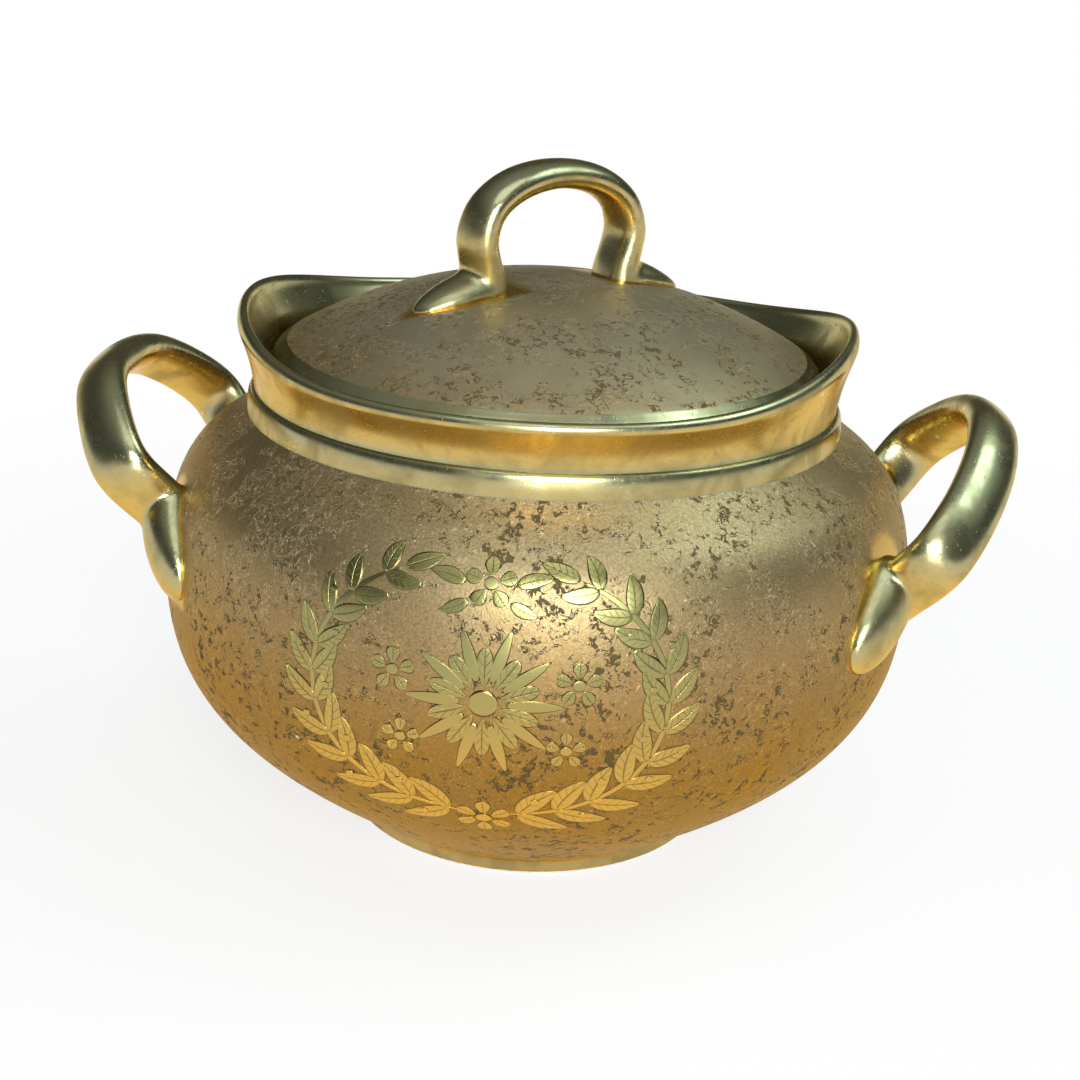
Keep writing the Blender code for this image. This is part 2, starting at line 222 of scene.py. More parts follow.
def make_object(
    name: str,
    tubes: list[Tube],
    materials: list[bpy.types.Material],
    zones: np.ndarray | None = None,
    crease: float = 34.0,
) -> bpy.types.Object:
    """One object of closed tubes, at the origin.

    Args:
        name: the piece's name.
        tubes: its surfaces.
        materials: the finishes, in the order of their zone numbers.
        zones: the zone number of each strip between two rings, for a piece of one tube.
        crease: the angle past which an edge is shaded as an edge.

    Returns:
        The new object, linked to the scene.
    """
    quads, caps, start = [], [], 0
    for tube in tubes:
        four, three = tube.faces()
        quads.append(four + start)
        caps.append(three + start)
        start += len(tube.vertices())
    points = np.vstack([tube.vertices() for tube in tubes])
    data = bpy.data.meshes.new(name)
    data.from_pydata(points.tolist(), [], np.vstack(quads).tolist() + np.vstack(caps).tolist())
    for key in tubes[0].values:
        values = np.concatenate([tube.values[key] for tube in tubes]).astype(np.float32)
        data.attributes.new(key, "FLOAT", "POINT").data.foreach_set("value", values)
    for material in materials:
        data.materials.append(material)
    if zones is not None:
        columns = tubes[0].rings.shape[1]
        numbers = np.repeat([*zones[1:-1], zones[0], zones[-1]], columns)
        data.polygons.foreach_set("material_index", numbers.astype(np.int32))
    data.shade_smooth()
    data.set_sharp_from_angle(angle=math.radians(crease))
    data.update()
    mark_upward(data)
    made = bpy.data.objects.new(name, data)
    bpy.context.scene.collection.objects.link(made)
    return made


def mark_upward(data: bpy.types.Mesh) -> None:
    """Stores how far each point's normal turns upward, as its Z, under the name up: it steers a painted
    reflection.

    Args:
        data: the mesh that gets the attribute.
    """
    facing = np.empty(3 * len(data.vertices), np.float32)
    data.vertex_normals.foreach_get("vector", facing)
    data.attributes.new("up", "FLOAT", "POINT").data.foreach_set("value", facing[2::3].copy())


def fuse(made: bpy.types.Object, grain: float = 0.0004, rounds: int = 18) -> None:
    """Makes one skin of a piece's overlapping surfaces and rounds the corners where they meet.

    The skin is cut from a grid of small cubes. Each round then moves every point half way to the
    mean of its neighbours.

    Args:
        made: the piece.
        grain: the side of the cubes.
        rounds: how often the points are moved.
    """
    skin = made.modifiers.new("skin", "REMESH")
    skin.mode = "VOXEL"
    skin.voxel_size = grain
    soft = made.modifiers.new("soft", "SMOOTH")
    soft.factor = 0.5
    soft.iterations = rounds
    graph = bpy.context.evaluated_depsgraph_get()
    data = bpy.data.meshes.new_from_object(made.evaluated_get(graph), depsgraph=graph)
    data.materials.clear()
    for material in made.data.materials:
        data.materials.append(material)
    made.modifiers.clear()
    made.data = data
    data.shade_smooth()
    mark_upward(data)


@dataclass
class Section:
    """A turned piece's section as runs of points, each with the zone it is finished in."""

    runs: list[np.ndarray] = field(default_factory=list)
    zones: list[Zone] = field(default_factory=list)

    def add(self, points: np.ndarray | list, zone: Zone) -> None:
        """Adds a run of points, all in one zone."""
        self.runs.append(np.asarray(points, float))
        self.zones.append(zone)

    def last(self) -> Pair:
        """The last point so far."""
        return tuple(self.runs[-1][-1])

    def strips(self) -> np.ndarray:
        """The zone number of each strip that ends in a point, for all points but the first."""
        numbers = [np.full(len(run), zone.value) for run, zone in zip(self.runs, self.zones)]
        return np.concatenate(numbers)[1:]

    def turned(self, segments: int) -> Tube:
        """The section turned about Z: x and y are the radius times cosine and sine of the turn.

        Args:
            segments: how many columns go round.

        Returns:
            A tube whose two end points lie on the axis.
        """
        points = np.vstack(self.runs)
        turn = np.arange(segments) * (math.tau / segments)
        radius, height = points[1:-1, :1], points[1:-1, 1:]
        grid = [radius * np.cos(turn), radius * np.sin(turn), np.repeat(height, segments, 1)]
        bottom, top = ([0.0, 0.0, points[i, 1]] for i in (0, -1))
        return Tube(np.stack(grid, -1), np.array(bottom), np.array(top))


def strap_rings(
    stations: np.ndarray, sides: int, outer: float, inner: float, sideways: float
) -> np.ndarray:
    """Rings of a strap in the XZ plane. Each ring is a superellipse in which cosine and sine are
    raised to a power: a small power squares it, and the outer half may be rounder than the inner.

    Args:
        stations: rows of x, z, thickness in the plane and width in Y.
        sides: how many points go round.
        outer: the power on the outer half.
        inner: the power on the half that faces the hole.
        sideways: the power across the strap.

    Returns:
        The rings as rows by sides by three.
    """
    tangent = along_line(stations[:, :2])
    turn = np.arange(sides) * (math.tau / sides)
    cosine, sine = np.cos(turn)[None], np.sin(turn)[None]
    power = np.where(cosine > 0, outer, inner)
    out = np.sign(cosine) * np.abs(cosine) ** power * stations[:, 2:3] / 2
    wide = np.sign(sine) * np.abs(sine) ** sideways * stations[:, 3:4] / 2
    grid = [stations[:, :1] - tangent[:, 1:] * out, wide, stations[:, 1:2] + tangent[:, :1] * out]
    return np.stack(grid, -1)


# ---------------------------------------------------------------------------------------------
# Shader nodes


class Graph:
    """A node tree with short ways to add linked nodes to it."""

    def __init__(self, tree: bpy.types.NodeTree) -> None:
        """Keeps the tree that nodes are added to."""
        self.tree = tree

    def put(self, socket: Socket, value: object) -> None:
        """Links a socket to another one, or sets its value.

        Args:
            socket: the input to feed.
            value: a socket or a plain value.
        """
        if isinstance(value, bpy.types.NodeSocket):
            self.tree.links.new(value, socket)
        else:
            socket.default_value = value

    def node(self, kind: str, inputs: dict | None = None, **settings: object) -> bpy.types.Node:
        """Adds a node.

        Args:
            kind: the node type without its ShaderNode prefix.
            inputs: values or sockets for its inputs, by name or number.
            settings: its own properties.

        Returns:
            The node.
        """
        node = self.tree.nodes.new("ShaderNode" + kind)
        for key, value in settings.items():
            setattr(node, key, value)
        for key, value in (inputs or {}).items():
            self.put(node.inputs[key], value)
        return node

    def math(self, operation: str, *values: object) -> Socket:
        """The result of a Math node on one to three values."""
        return self.node("Math", dict(enumerate(values)), operation=operation).outputs[0]

    def times(self, first: object, second: object) -> Socket:
        """The product of two values."""
        return self.math("MULTIPLY", first, second)

    def less(self, first: object, second: object) -> Socket:
        """The first value less the second."""
        return self.math("SUBTRACT", first, second)

    def map(
        self, value: Socket, low: float, high: float, start: float = 0.0, end: float = 1.0
    ) -> Socket:
        """A smooth step from start to end as the value goes from low to high."""
        inputs = {"Value": value, "From Min": low, "From Max": high, "To Min": start, "To Max": end}
        return self.node("MapRange", inputs, interpolation_type="SMOOTHSTEP").outputs["Result"]

    def mix(self, share: object, first: object, second: object) -> Socket:
        """A colour between the first and the second."""
        return self.node("Mix", {0: share, 6: first, 7: second}, data_type="RGBA").outputs[2]

    def noise(
        self, place: Socket, scale: object, detail: float, roughness: float = 0.5, twist: float = 0.0
    ) -> Socket:
        """The value of a Noise Texture at a place, with its scale in waves per metre."""
        sizes = {"Scale": scale, "Detail": detail, "Roughness": roughness, "Distortion": twist}
        return self.node("TexNoise", {"Vector": place, **sizes}).outputs[0]

    def place(self) -> Socket:
        """Object coordinates."""
        return self.node("TexCoord").outputs["Object"]

    def attribute(self, name: str) -> Socket:
        """A number that the mesh holds at each point."""
        return self.node("Attribute", attribute_name=name).outputs["Fac"]

    def group(self, tree: bpy.types.NodeTree, inputs: dict) -> bpy.types.NodeOutputs:
        """Adds a node of a shared group.

        Args:
            tree: the group.
            inputs: this node's own input values.

        Returns:
            The node's outputs.
        """
        return self.node("Group", inputs, node_tree=tree).outputs


class Effects:
    """The shader groups that more than one finish uses."""

    def __init__(self) -> None:
        """Builds the groups once."""
        self.pits = self.etched_pits()
        self.wear = self.worn_gold()

    @staticmethod
    def group(
        name: str, numbers: dict[str, float], outputs: list[str]
    ) -> tuple[Graph, bpy.types.NodeOutputs, bpy.types.NodeInputs]:
        """An empty shader group with a place, some numbers and the values it puts out.

        Args:
            name: the group's name.
            numbers: the names of its number inputs, with their standard values.
            outputs: the names of its values.

        Returns:
            The group's graph, what it is given and what it has to put out.
        """
        tree = bpy.data.node_groups.new(name, "ShaderNodeTree")
        tree.interface.new_socket("Vector", in_out="INPUT", socket_type="NodeSocketVector")
        for key, value in numbers.items():
            socket = tree.interface.new_socket(key, in_out="INPUT", socket_type="NodeSocketFloat")
            socket.default_value = value
        for key in outputs:
            tree.interface.new_socket(key, in_out="OUTPUT", socket_type="NodeSocketFloat")
        given, result = (tree.nodes.new(kind) for kind in ("NodeGroupInput", "NodeGroupOutput"))
        return Graph(tree), given.outputs, result.inputs

    @classmethod
    def etched_pits(cls) -> bpy.types.NodeTree:
        """Short crooked pits with an edge band, thick in some places and missing in others; the etched
        gold paints shade in the pits and a highlight on the edges.

        A pit follows the line on which a noise is one half, as a band whose half width is the
        product of the cover and coarser noises. Its edge is a wider band less the pit.

        Returns:
            A group that gives the pits, their edges and a cloudy tone.
        """
        # A noise's numbers are its waves per metre, detail, roughness and twist.
        crooked_noise, cloud_noise = (2.0, 0.6, 0.8), (70.0, 4.0, 0.6)
        crowd_noise, crowd_span = (150.0, 2.0, 0.55, 0.6), (0.36, 0.58)
        patch_noise, patch_span = (45.0, 1.0, 0.5, 0.2), (0.42, 0.62, -0.3, 0.4)
        break_noise, break_span = (620.0, 1.0, 0.5, 0.5), (0.46, 0.64)
        half_width, pit_span = 0.085, (0.0, 0.008)
        edge_span, edge_crowd_span = (-0.024, -0.010), (0.05, 0.5)
        graph, given, result = cls.group(
            "etched pits", {"Size": 0.0016, "Cover": 0.5}, ["Pit", "Edge", "Tone"]
        )
        place = given["Vector"]
        crooked = graph.noise(place, graph.math("DIVIDE", 1.0, given["Size"]), *crooked_noise)
        off = graph.math("ABSOLUTE", graph.less(crooked, 0.5))
        crowd = graph.map(graph.noise(place, *crowd_noise), *crowd_span)
        patches = graph.map(graph.noise(place, *patch_noise), *patch_span)
        crowded = graph.times(graph.math("ADD", crowd, patches), given["Cover"])
        broken = graph.map(graph.noise(place, *break_noise), *break_span)
        above = graph.less(graph.times(graph.times(crowded, broken), half_width), off)
        pit = graph.map(above, *pit_span)
        band = graph.times(graph.map(above, *edge_span), graph.map(crowded, *edge_crowd_span))
        graph.put(result["Pit"], pit)
        graph.put(result["Edge"], graph.math("MAXIMUM", graph.less(band, pit), 0.0))
        graph.put(result["Tone"], graph.noise(place, *cloud_noise))
        return graph.tree

    @classmethod
    def worn_gold(cls) -> bpy.types.NodeTree:
        """Marks of use: small pale specks where the coating is nicked, thin scratches and smudges.

        A speck is the middle of a Voronoi cell where a coarse noise is above a bar that the amount
        lowers. A scratch is a high value of a noise stretched along one direction.

        Returns:
            A group that gives specks, scratches and smudges.
        """
        # A noise's numbers are its waves per metre, detail, roughness and twist.
        sparse_noise, smudge_noise = (160.0, 2.0, 0.7), (110.0, 4.0, 0.62, 0.4)
        cell_waves, speck_span, sparse_span = 420.0, (0.30, 0.12), (0.0, 0.03)
        bar_top, bar_drop = 0.74, 0.10
        scratch_noise, scratch_span = (2600.0, 1.0, 0.5, 0.3), (0.66, 0.74)
        scratch_turn, scratch_stretch = (0.5, 0.9, 0.3), (1.0, 0.06, 1.0)
        graph, given, result = cls.group("worn gold", {"Amount": 0.5}, ["Speck", "Scratch", "Smudge"])
        place = given["Vector"]
        cells = graph.node("TexVoronoi", {"Vector": place, "Scale": cell_waves, "Randomness": 1.0})
        bar = graph.less(bar_top, graph.times(given["Amount"], bar_drop))
        sparse = graph.less(graph.noise(place, *sparse_noise), bar)
        near = graph.map(cells.outputs["Distance"], *speck_span)
        turned = {"Vector": place, "Rotation": scratch_turn, "Scale": scratch_stretch}
        lines = graph.noise(graph.node("Mapping", turned).outputs[0], *scratch_noise)
        graph.put(result["Speck"], graph.times(near, graph.map(sparse, *sparse_span)))
        graph.put(result["Scratch"], graph.map(lines, *scratch_span))
        graph.put(result["Smudge"], graph.noise(place, *smudge_noise))
        return graph.tree


@dataclass(frozen=True)
class Finish:
    """What every finish has: a name, how worn it is, and the colour of its nicks."""

    name: str
    worn: float
    speck: Colour

    def start(
        self, effects: Effects
    ) -> tuple[bpy.types.Material, Graph, bpy.types.NodeInputs, bpy.types.NodeOutputs]:
        """A new material with its marks of wear.

        Args:
            effects: the shared groups.

        Returns:
            The material, its graph, its shader's inputs and the marks of wear.
        """
        material = bpy.data.materials.new(self.name)
        material.use_nodes = True
        graph = Graph(material.node_tree)
        wear = graph.group(effects.wear, {"Vector": graph.place(), "Amount": self.worn})
        return material, graph, material.node_tree.nodes["Principled BSDF"].inputs, wear

    @staticmethod
    def bumped(graph: Graph, height: Socket, strength: float, depth: float) -> Socket:
        """The normal that a Bump node makes of a height."""
        inputs = {"Height": height, "Strength": strength, "Distance": depth}
        return graph.node("Bump", inputs).outputs["Normal"]


@dataclass(frozen=True)
class Gold(Finish):
    """What the gold finishes share: two tones, mixed by height as a painted reflection, on a metal."""

    low: Colour
    high: Colour
    painted_reflection_heights: Span
    grazing: Colour = field(default=(1.0, 0.86, 0.58, 1.0), kw_only=True)

    def painted_reflection_by_height(self, graph: Graph) -> Socket:
        """A smooth step over the height on the piece, which blends the tones of the painted reflection.
        """
        return graph.map(graph.node("SeparateXYZ", {0: graph.place()}).outputs["Z"], *self.painted_reflection_heights)

    def metal(self, shader: bpy.types.NodeInputs) -> None:
        """Makes the shader a metal whose grazing reflections stay golden."""
        shader["Metallic"].default_value = 1.0
        shader["Specular Tint"].default_value = self.grazing


@dataclass(frozen=True)
class BurnishedGold(Gold):
    """Smooth gold, polished by hand, which shows fine scratches and nicks.

    Its low tone is mixed by height with that of the foot, and gives way to the high one where the surface
    faces up. These tones are a painted reflection: warm orange low down and facing down, darker olive
    facing up.
    """

    name: str = "burnished gold"
    worn: float = 0.6
    speck: Colour = (0.92, 0.88, 0.76, 1.0)
    # painted reflection: foot and low are warm tones low down, high is a darker olive where the surface
    # faces up
    low: Colour = (0.76, 0.48, 0.110, 1.0)
    high: Colour = (0.40, 0.40, 0.235, 1.0)
    painted_reflection_heights: Span = (0.004, 0.050)
    foot: Colour = (0.56, 0.31, 0.045, 1.0)
    # the facing span over which the painted reflection turns to the high tone
    upward: Span = (-0.60, 0.45)
    dull: Colour = (0.22, 0.16, 0.06, 1.0)
    dulled: Span = (0.42, 0.68, 0.0, 0.5)
    roughness: Span = (0.35, 0.75, 0.22, 0.41)
    scratch_roughness: float = 0.16
    scratch_height: float = -0.5
    bump: Pair = (0.25, 0.00006)

    def build(self, effects: Effects) -> bpy.types.Material:
        """The material. Smudges and scratches change its roughness, and specks its colour.

        Args:
            effects: the shared groups.

        Returns:
            The material.
        """
        material, graph, shader, wear = self.start(effects)
        smudge, scratch = wear["Smudge"], wear["Scratch"]
        # painted reflection: warm tones by height, then the darker high tone where the normal faces up
        low = graph.mix(self.painted_reflection_by_height(graph), self.foot, self.low)
        colour = graph.mix(graph.map(graph.attribute("up"), *self.upward), low, self.high)
        colour = graph.mix(graph.map(smudge, *self.dulled), colour, self.dull)
        rough = graph.map(smudge, *self.roughness)
        marks = graph.math("MULTIPLY_ADD", scratch, self.scratch_height, smudge)
        self.metal(shader)
        graph.put(shader["Base Color"], graph.mix(wear["Speck"], colour, self.speck))
        graph.put(
            shader["Roughness"], graph.math("MULTIPLY_ADD", scratch, self.scratch_roughness, rough)
        )
        graph.put(shader["Normal"], self.bumped(graph, marks, *self.bump))
        return material


@dataclass(frozen=True)
class EtchedGold(Gold):
    """Matt gold over an etched ground, with crooked pits darkened brown as painted shade, each with a
    painted highlight on its edge.

    The mesh's gilded attribute says where the ground was left smooth.
    """

    name: str = "etched gold"
    worn: float = 0.35
    speck: Colour = (0.9, 0.86, 0.74, 1.0)
    # low and high: the ground's tones, mixed by height as a painted reflection
    low: Colour = (0.34, 0.165, 0.020, 1.0)
    high: Colour = (0.330, 0.248, 0.122, 1.0)
    painted_reflection_heights: Span = (0.028, 0.070)
    # low_edge and high_edge: the painted highlight on the pits' edges, by height; the stipple also leans
    # to them
    low_edge: Colour = (0.54, 0.29, 0.055, 1.0)
    high_edge: Colour = (0.66, 0.54, 0.34, 1.0)
    # pit: painted shade in the pits
    pit: Colour = (0.075, 0.050, 0.020, 1.0)
    smooth: Colour = (0.60, 0.40, 0.12, 1.0)
    cloud: Colour = (0.24, 0.17, 0.09, 1.0)
    clouded: Span = (0.35, 0.7, 0.0, 0.4)
    stipple: tuple[float, float, float] = (2600.0, 2.0, 0.7)
    stippled: Span = (0.35, 0.65, 0.0, 0.35)
    cover: float = 0.95
    size: float = 0.0012
    edge_highlight_share: float = 0.8
    pit_shade_share: float = 0.85
    roughness: float = 0.48
    smooth_roughness: float = 0.26
    pit_roughness: float = 0.25
    pit_metal: float = -0.4
    grain: tuple[float, float, float] = (3200.0, 2.0, 0.6)
    grain_height: float = 0.22
    edge_height: float = 0.35
    bump: Pair = (1.0, 0.00014)

    def build(self, effects: Effects) -> bpy.types.Material:
        """The material. Pits go down and are darkened as painted shade, their edges go up and are
        lightened as a painted highlight.

        Args:
            effects: the shared groups.

        Returns:
            The material.
        """
        material, graph, shader, wear = self.start(effects)
        place, height = graph.place(), self.painted_reflection_by_height(graph)
        pits = graph.group(effects.pits, {"Vector": place, "Size": self.size, "Cover": self.cover})
        gilded = graph.attribute("gilded")
        etched = graph.less(1.0, gilded)
        pit, edge = graph.times(pits["Pit"], etched), graph.times(pits["Edge"], etched)
        # bright: the painted highlight of the edges, by height; the stipple mixes towards it too
        bright = graph.mix(height, self.low_edge, self.high_edge)
        # ground: its tones by height are a painted reflection
        ground = graph.mix(height, self.low, self.high)
        ground = graph.mix(graph.map(pits["Tone"], *self.clouded), ground, self.cloud)
        stipple = graph.map(graph.noise(place, *self.stipple), *self.stippled)
        colour = graph.mix(gilded, graph.mix(stipple, ground, bright), self.smooth)
        # painted highlight on the pits' edges
        colour = graph.mix(graph.times(edge, self.edge_highlight_share), colour, bright)
        # painted shade in the pits
        colour = graph.mix(graph.times(pit, self.pit_shade_share), colour, self.pit)
        gain = self.smooth_roughness - self.roughness
        rough = graph.math("MULTIPLY_ADD", gilded, gain, self.roughness)
        grain = graph.times(graph.noise(place, *self.grain), self.grain_height)
        relief = graph.less(graph.math("MULTIPLY_ADD", edge, self.edge_height, grain), pit)
        self.metal(shader)
        graph.put(shader["Base Color"], graph.mix(wear["Speck"], colour, self.speck))
        graph.put(shader["Roughness"], graph.math("MULTIPLY_ADD", pit, self.pit_roughness, rough))
        graph.put(shader["Metallic"], graph.math("MULTIPLY_ADD", pit, self.pit_metal, 1.0))
        graph.put(shader["Normal"], self.bumped(graph, relief, *self.bump))
        return material


@dataclass(frozen=True)
class EngravedGold(Gold):
    """The raised ornament's bright gold, with a dark outline that is painted shade along each ridge's
    edge, and engraved veins.

    The mesh's along and across attributes run over each leaf.
    """

    name: str = "engraved gold"
    worn: float = 0.3
    speck: Colour = (0.9, 0.86, 0.74, 1.0)
    # low and high: tones mixed by height as a painted reflection
    low: Colour = (0.74, 0.41, 0.070, 1.0)
    high: Colour = (0.34, 0.32, 0.13, 1.0)
    painted_reflection_heights: Span = (0.024, 0.056)
    # line: painted shade along each ridge's outline, and the dark of the engraved rib and veins
    line: Colour = (0.10, 0.065, 0.025, 1.0)
    line_share: float = 0.85
    outline: Span = (0.80, 0.93)
    rib: Span = (0.10, 0.05)
    rib_share: float = 0.9
    vein: Span = (0.44, 0.49)
    vein_share: float = 0.8
    vein_count: float = 6.0
    vein_lean: float = -1.1
    roughness: Span = (0.35, 0.75, 0.24, 0.38)
    bump: Pair = (0.6, 0.0001)

    def build(self, effects: Effects) -> bpy.types.Material:
        """The material. Lines darken and go down; the outline's dark is painted shade, that of the rib
        and veins is the engraving.

        Args:
            effects: the shared groups.

        Returns:
            The material.
        """
        material, graph, shader, wear = self.start(effects)
        off, veined = graph.math("ABSOLUTE", graph.attribute("across")), graph.attribute("veined")
        run = graph.times(graph.attribute("along"), self.vein_count)
        beat = graph.math("FRACT", graph.math("MULTIPLY_ADD", off, self.vein_lean, run))
        vein = graph.map(graph.math("ABSOLUTE", graph.less(beat, 0.5)), *self.vein)
        rib = graph.times(graph.map(off, *self.rib), self.rib_share)
        inner = graph.times(graph.times(graph.math("MAXIMUM", rib, vein), self.vein_share), veined)
        # the outline part of this is painted shade at each ridge's edge
        line = graph.math("MAXIMUM", graph.map(off, *self.outline), inner)
        # painted reflection: tones by height
        colour = graph.mix(self.painted_reflection_by_height(graph), self.low, self.high)
        colour = graph.mix(graph.times(line, self.line_share), colour, self.line)
        self.metal(shader)
        graph.put(shader["Base Color"], graph.mix(wear["Speck"], colour, self.speck))
        graph.put(shader["Roughness"], graph.map(wear["Smudge"], *self.roughness))
        graph.put(shader["Normal"], self.bumped(graph, graph.less(0.0, line), *self.bump))
        return material


@dataclass(frozen=True)
class Glaze(Finish):
    """Clear glaze over white porcelain, inside the bowl and under it."""

    name: str = "porcelain glaze"
    worn: float = 0.2
    speck: Colour = (0.45, 0.38, 0.30, 1.0)
    white: Colour = (0.86, 0.84, 0.79, 1.0)
    shade: Colour = (0.74, 0.70, 0.62, 1.0)
    shaded: Span = (0.45, 0.8, 0.0, 0.7)
    roughness: Span = (0.3, 0.8, 0.12, 0.26)
    bump: Pair = (0.12, 0.0001)

    def build(self, effects: Effects) -> bpy.types.Material:
        """The material: a warm white with faint clouds, glossy as glaze is.

        Args:
            effects: the shared groups.

        Returns:
            The material.
        """
        material, graph, shader, wear = self.start(effects)
        colour = graph.mix(graph.map(wear["Smudge"], *self.shaded), self.white, self.shade)
        graph.put(shader["Base Color"], graph.mix(wear["Speck"], colour, self.speck))
        graph.put(shader["Roughness"], graph.map(wear["Smudge"], *self.roughness))
        graph.put(shader["Normal"], self.bumped(graph, wear["Smudge"], *self.bump))
        return material


class Finishes:
    """Every finish, built once."""

    def __init__(self) -> None:
        """Builds the groups and the materials. The lid's etched gold is paler than the bowl's, and its
        tones are mixed over the dome's height as a painted reflection.
        """
        effects = Effects()
        lid_tones = {"low": (0.38, 0.33, 0.21, 1.0), "high": (0.42, 0.40, 0.29, 1.0)}
        self.burnished = BurnishedGold().build(effects)
        self.etched = EtchedGold().build(effects)
        self.lid_etched = EtchedGold("etched gold of the lid", painted_reflection_heights=(0.078, 0.094), **lid_tones).build(
            effects
        )
        self.engraved = EngravedGold().build(effects)
        self.glaze = Glaze().build(effects)


# ---------------------------------------------------------------------------------------------
# The pieces


@dataclass
class Bowl:
    """The cast bowl: foot ring, belly, neck, winged rim and the ledge that holds the lid.

    A pull is how far a Bezier curve's inner control point lies from its end, as a share.
    """

    foot_radius: float = 0.0318
    foot_ring_width: float = 0.0034
    foot_edge: float = 0.0005
    foot_recess: float = 0.0026
    foot_join: Pair = (0.03425, 0.0040)
    waist_share: float = 0.7
    belly: Pair = (0.06373, 0.04434)
    shoulder: Pair = (0.0500, 0.0719)
    wall: float = 0.0030
    base_thickness: float = 0.0034
    base_angle: float = 34.6
    base_pull: float = 0.63
    belly_pulls: Pair = (0.45, 0.82)
    shoulder_angle: float = 47.0
    shoulder_pull: float = 0.245
    neck: Pair = (0.0489, 0.0758)
    neck_pull: float = 0.3
    cove_pulls: Pair = (0.45, 0.75)
    rim: Pair = (0.0515, 0.0838)
    wing_rise: float = 0.0060
    wing_power: float = 5.0
    lip_thickness: float = 0.0021
    lip_arc: Pair = (-20.0, 170.0)
    mouth_pulls: tuple[float, float, float] = (0.3, 0.6, 0.5)
    ledge: Pair = (0.0470, 0.0780)
    ledge_width: float = 0.0031
    ledge_thickness: float = 0.0030
    ledge_edge: float = 0.0004
    foot_band: float = 0.0012
    side_steps: int = 40
    foot_steps: int = 8
    neck_steps: int = 12
    curve_steps: int = 14
    segments: int = 288

    def body_side(self) -> np.ndarray:
        """The body's outer side from foot to neck: two Bezier curves that meet upright at the belly.

        Returns:
            Rows of radius and height, going up.
        """
        base, belly, shoulder = self.foot_join, self.belly, self.shoulder
        low, high = belly[1] - base[1], shoulder[1] - belly[1]
        slope, tilt = math.radians(self.base_angle), math.radians(self.shoulder_angle)
        pull, draw = self.base_pull * low, self.shoulder_pull * high
        lower = bend(
            base,
            (base[0] + pull * math.cos(slope), base[1] + pull * math.sin(slope)),
            (belly[0], belly[1] - self.belly_pulls[0] * low),
            belly,
            self.side_steps,
        )
        upper = bend(
            belly,
            (belly[0], belly[1] + self.belly_pulls[1] * high),
            (shoulder[0] + draw * math.cos(tilt), shoulder[1] - draw * math.sin(tilt)),
            shoulder,
            self.side_steps,
        )
        return np.vstack([[base], lower, upper])

    def radius_at(self, height: np.ndarray | float) -> np.ndarray:
        """The body's radius at a height, read off its side."""
        side = self.body_side()
        return np.interp(height, side[:, 1], side[:, 0])

    def section(self) -> Section:
        """The whole section: under the base, up the outside, over the lip and down inside.

        Returns:
            The section, with both its ends on the axis.
        """
        section = Section()
        foot, edge, recess = self.foot_radius, self.foot_edge, self.foot_recess
        inside = foot - self.foot_ring_width
        base = [(0.0, recess), (0.5 * inside, recess), (inside - recess, recess)]
        ring = [(inside - edge, edge), (inside, 0.0), (foot - edge, 0.0), (foot, edge)]
        section.add(base + ring, Zone.GLAZED)
        waist = (foot, self.waist_share * self.foot_join[1])
        section.add(bend(ring[-1], waist, waist, self.foot_join, self.foot_steps), Zone.BURNISHED)
        side = self.body_side()
        banded = side[1:, 1] < self.foot_join[1] + self.foot_band
        section.add(side[1:][banded], Zone.BURNISHED)
        section.add(side[1:][~banded], Zone.ETCHED)
        self.add_rim(section)
        tangent = along_line(side)
        inner = side + np.stack([-tangent[:, 1], tangent[:, 0]], 1) * self.wall
        section.add(inner[::-1], Zone.GLAZED)
        floor = recess + self.base_thickness
        section.add([(0.5 * inside, floor), (0.0, floor)], Zone.GLAZED)
        return section

    def add_rim(self, section: Section) -> None:
        """Adds what stands on the shoulder: neck, cove, round lip, mouth and ledge.

        Args:
            section: the section, which has reached the shoulder.
        """
        shoulder, neck, ledge = self.shoulder, self.neck, self.ledge
        low_pull = (shoulder[0], shoulder[1] + self.neck_pull * (neck[1] - shoulder[1]))
        curve = bend(shoulder, low_pull, (shoulder[0], neck[1]), neck, self.neck_steps)
        section.add(curve, Zone.BURNISHED)
        lip_round = self.lip_thickness / 2
        middle = (self.rim[0] - lip_round, self.rim[1] - lip_round)
        lip = arc(middle, lip_round, *self.lip_arc, self.curve_steps)
        cove = lip[0, 1] - neck[1]
        low_pull = (neck[0], neck[1] + self.cove_pulls[0] * cove)
        high_pull = (middle[0], neck[1] + self.cove_pulls[1] * cove)
        curve = bend(neck, low_pull, high_pull, lip[0], self.curve_steps)
        section.add(curve[:-1], Zone.BURNISHED)
        section.add(lip, Zone.BURNISHED)
        top = section.last()
        mouth = top[1] - ledge[1]
        inward, upward, low = (pull * mouth for pull in self.mouth_pulls)
        high_pull, low_pull = (top[0] - inward, ledge[1] + upward), (ledge[0], ledge[1] + low)
        section.add(bend(top, high_pull, low_pull, ledge, self.curve_steps), Zone.BURNISHED)
        bore, edge = ledge[0] - self.ledge_width, self.ledge_edge
        section.add([(bore + edge, ledge[1]), (bore, ledge[1] - edge)], Zone.BURNISHED)
        section.add([(bore, ledge[1] - self.ledge_thickness)], Zone.GLAZED)

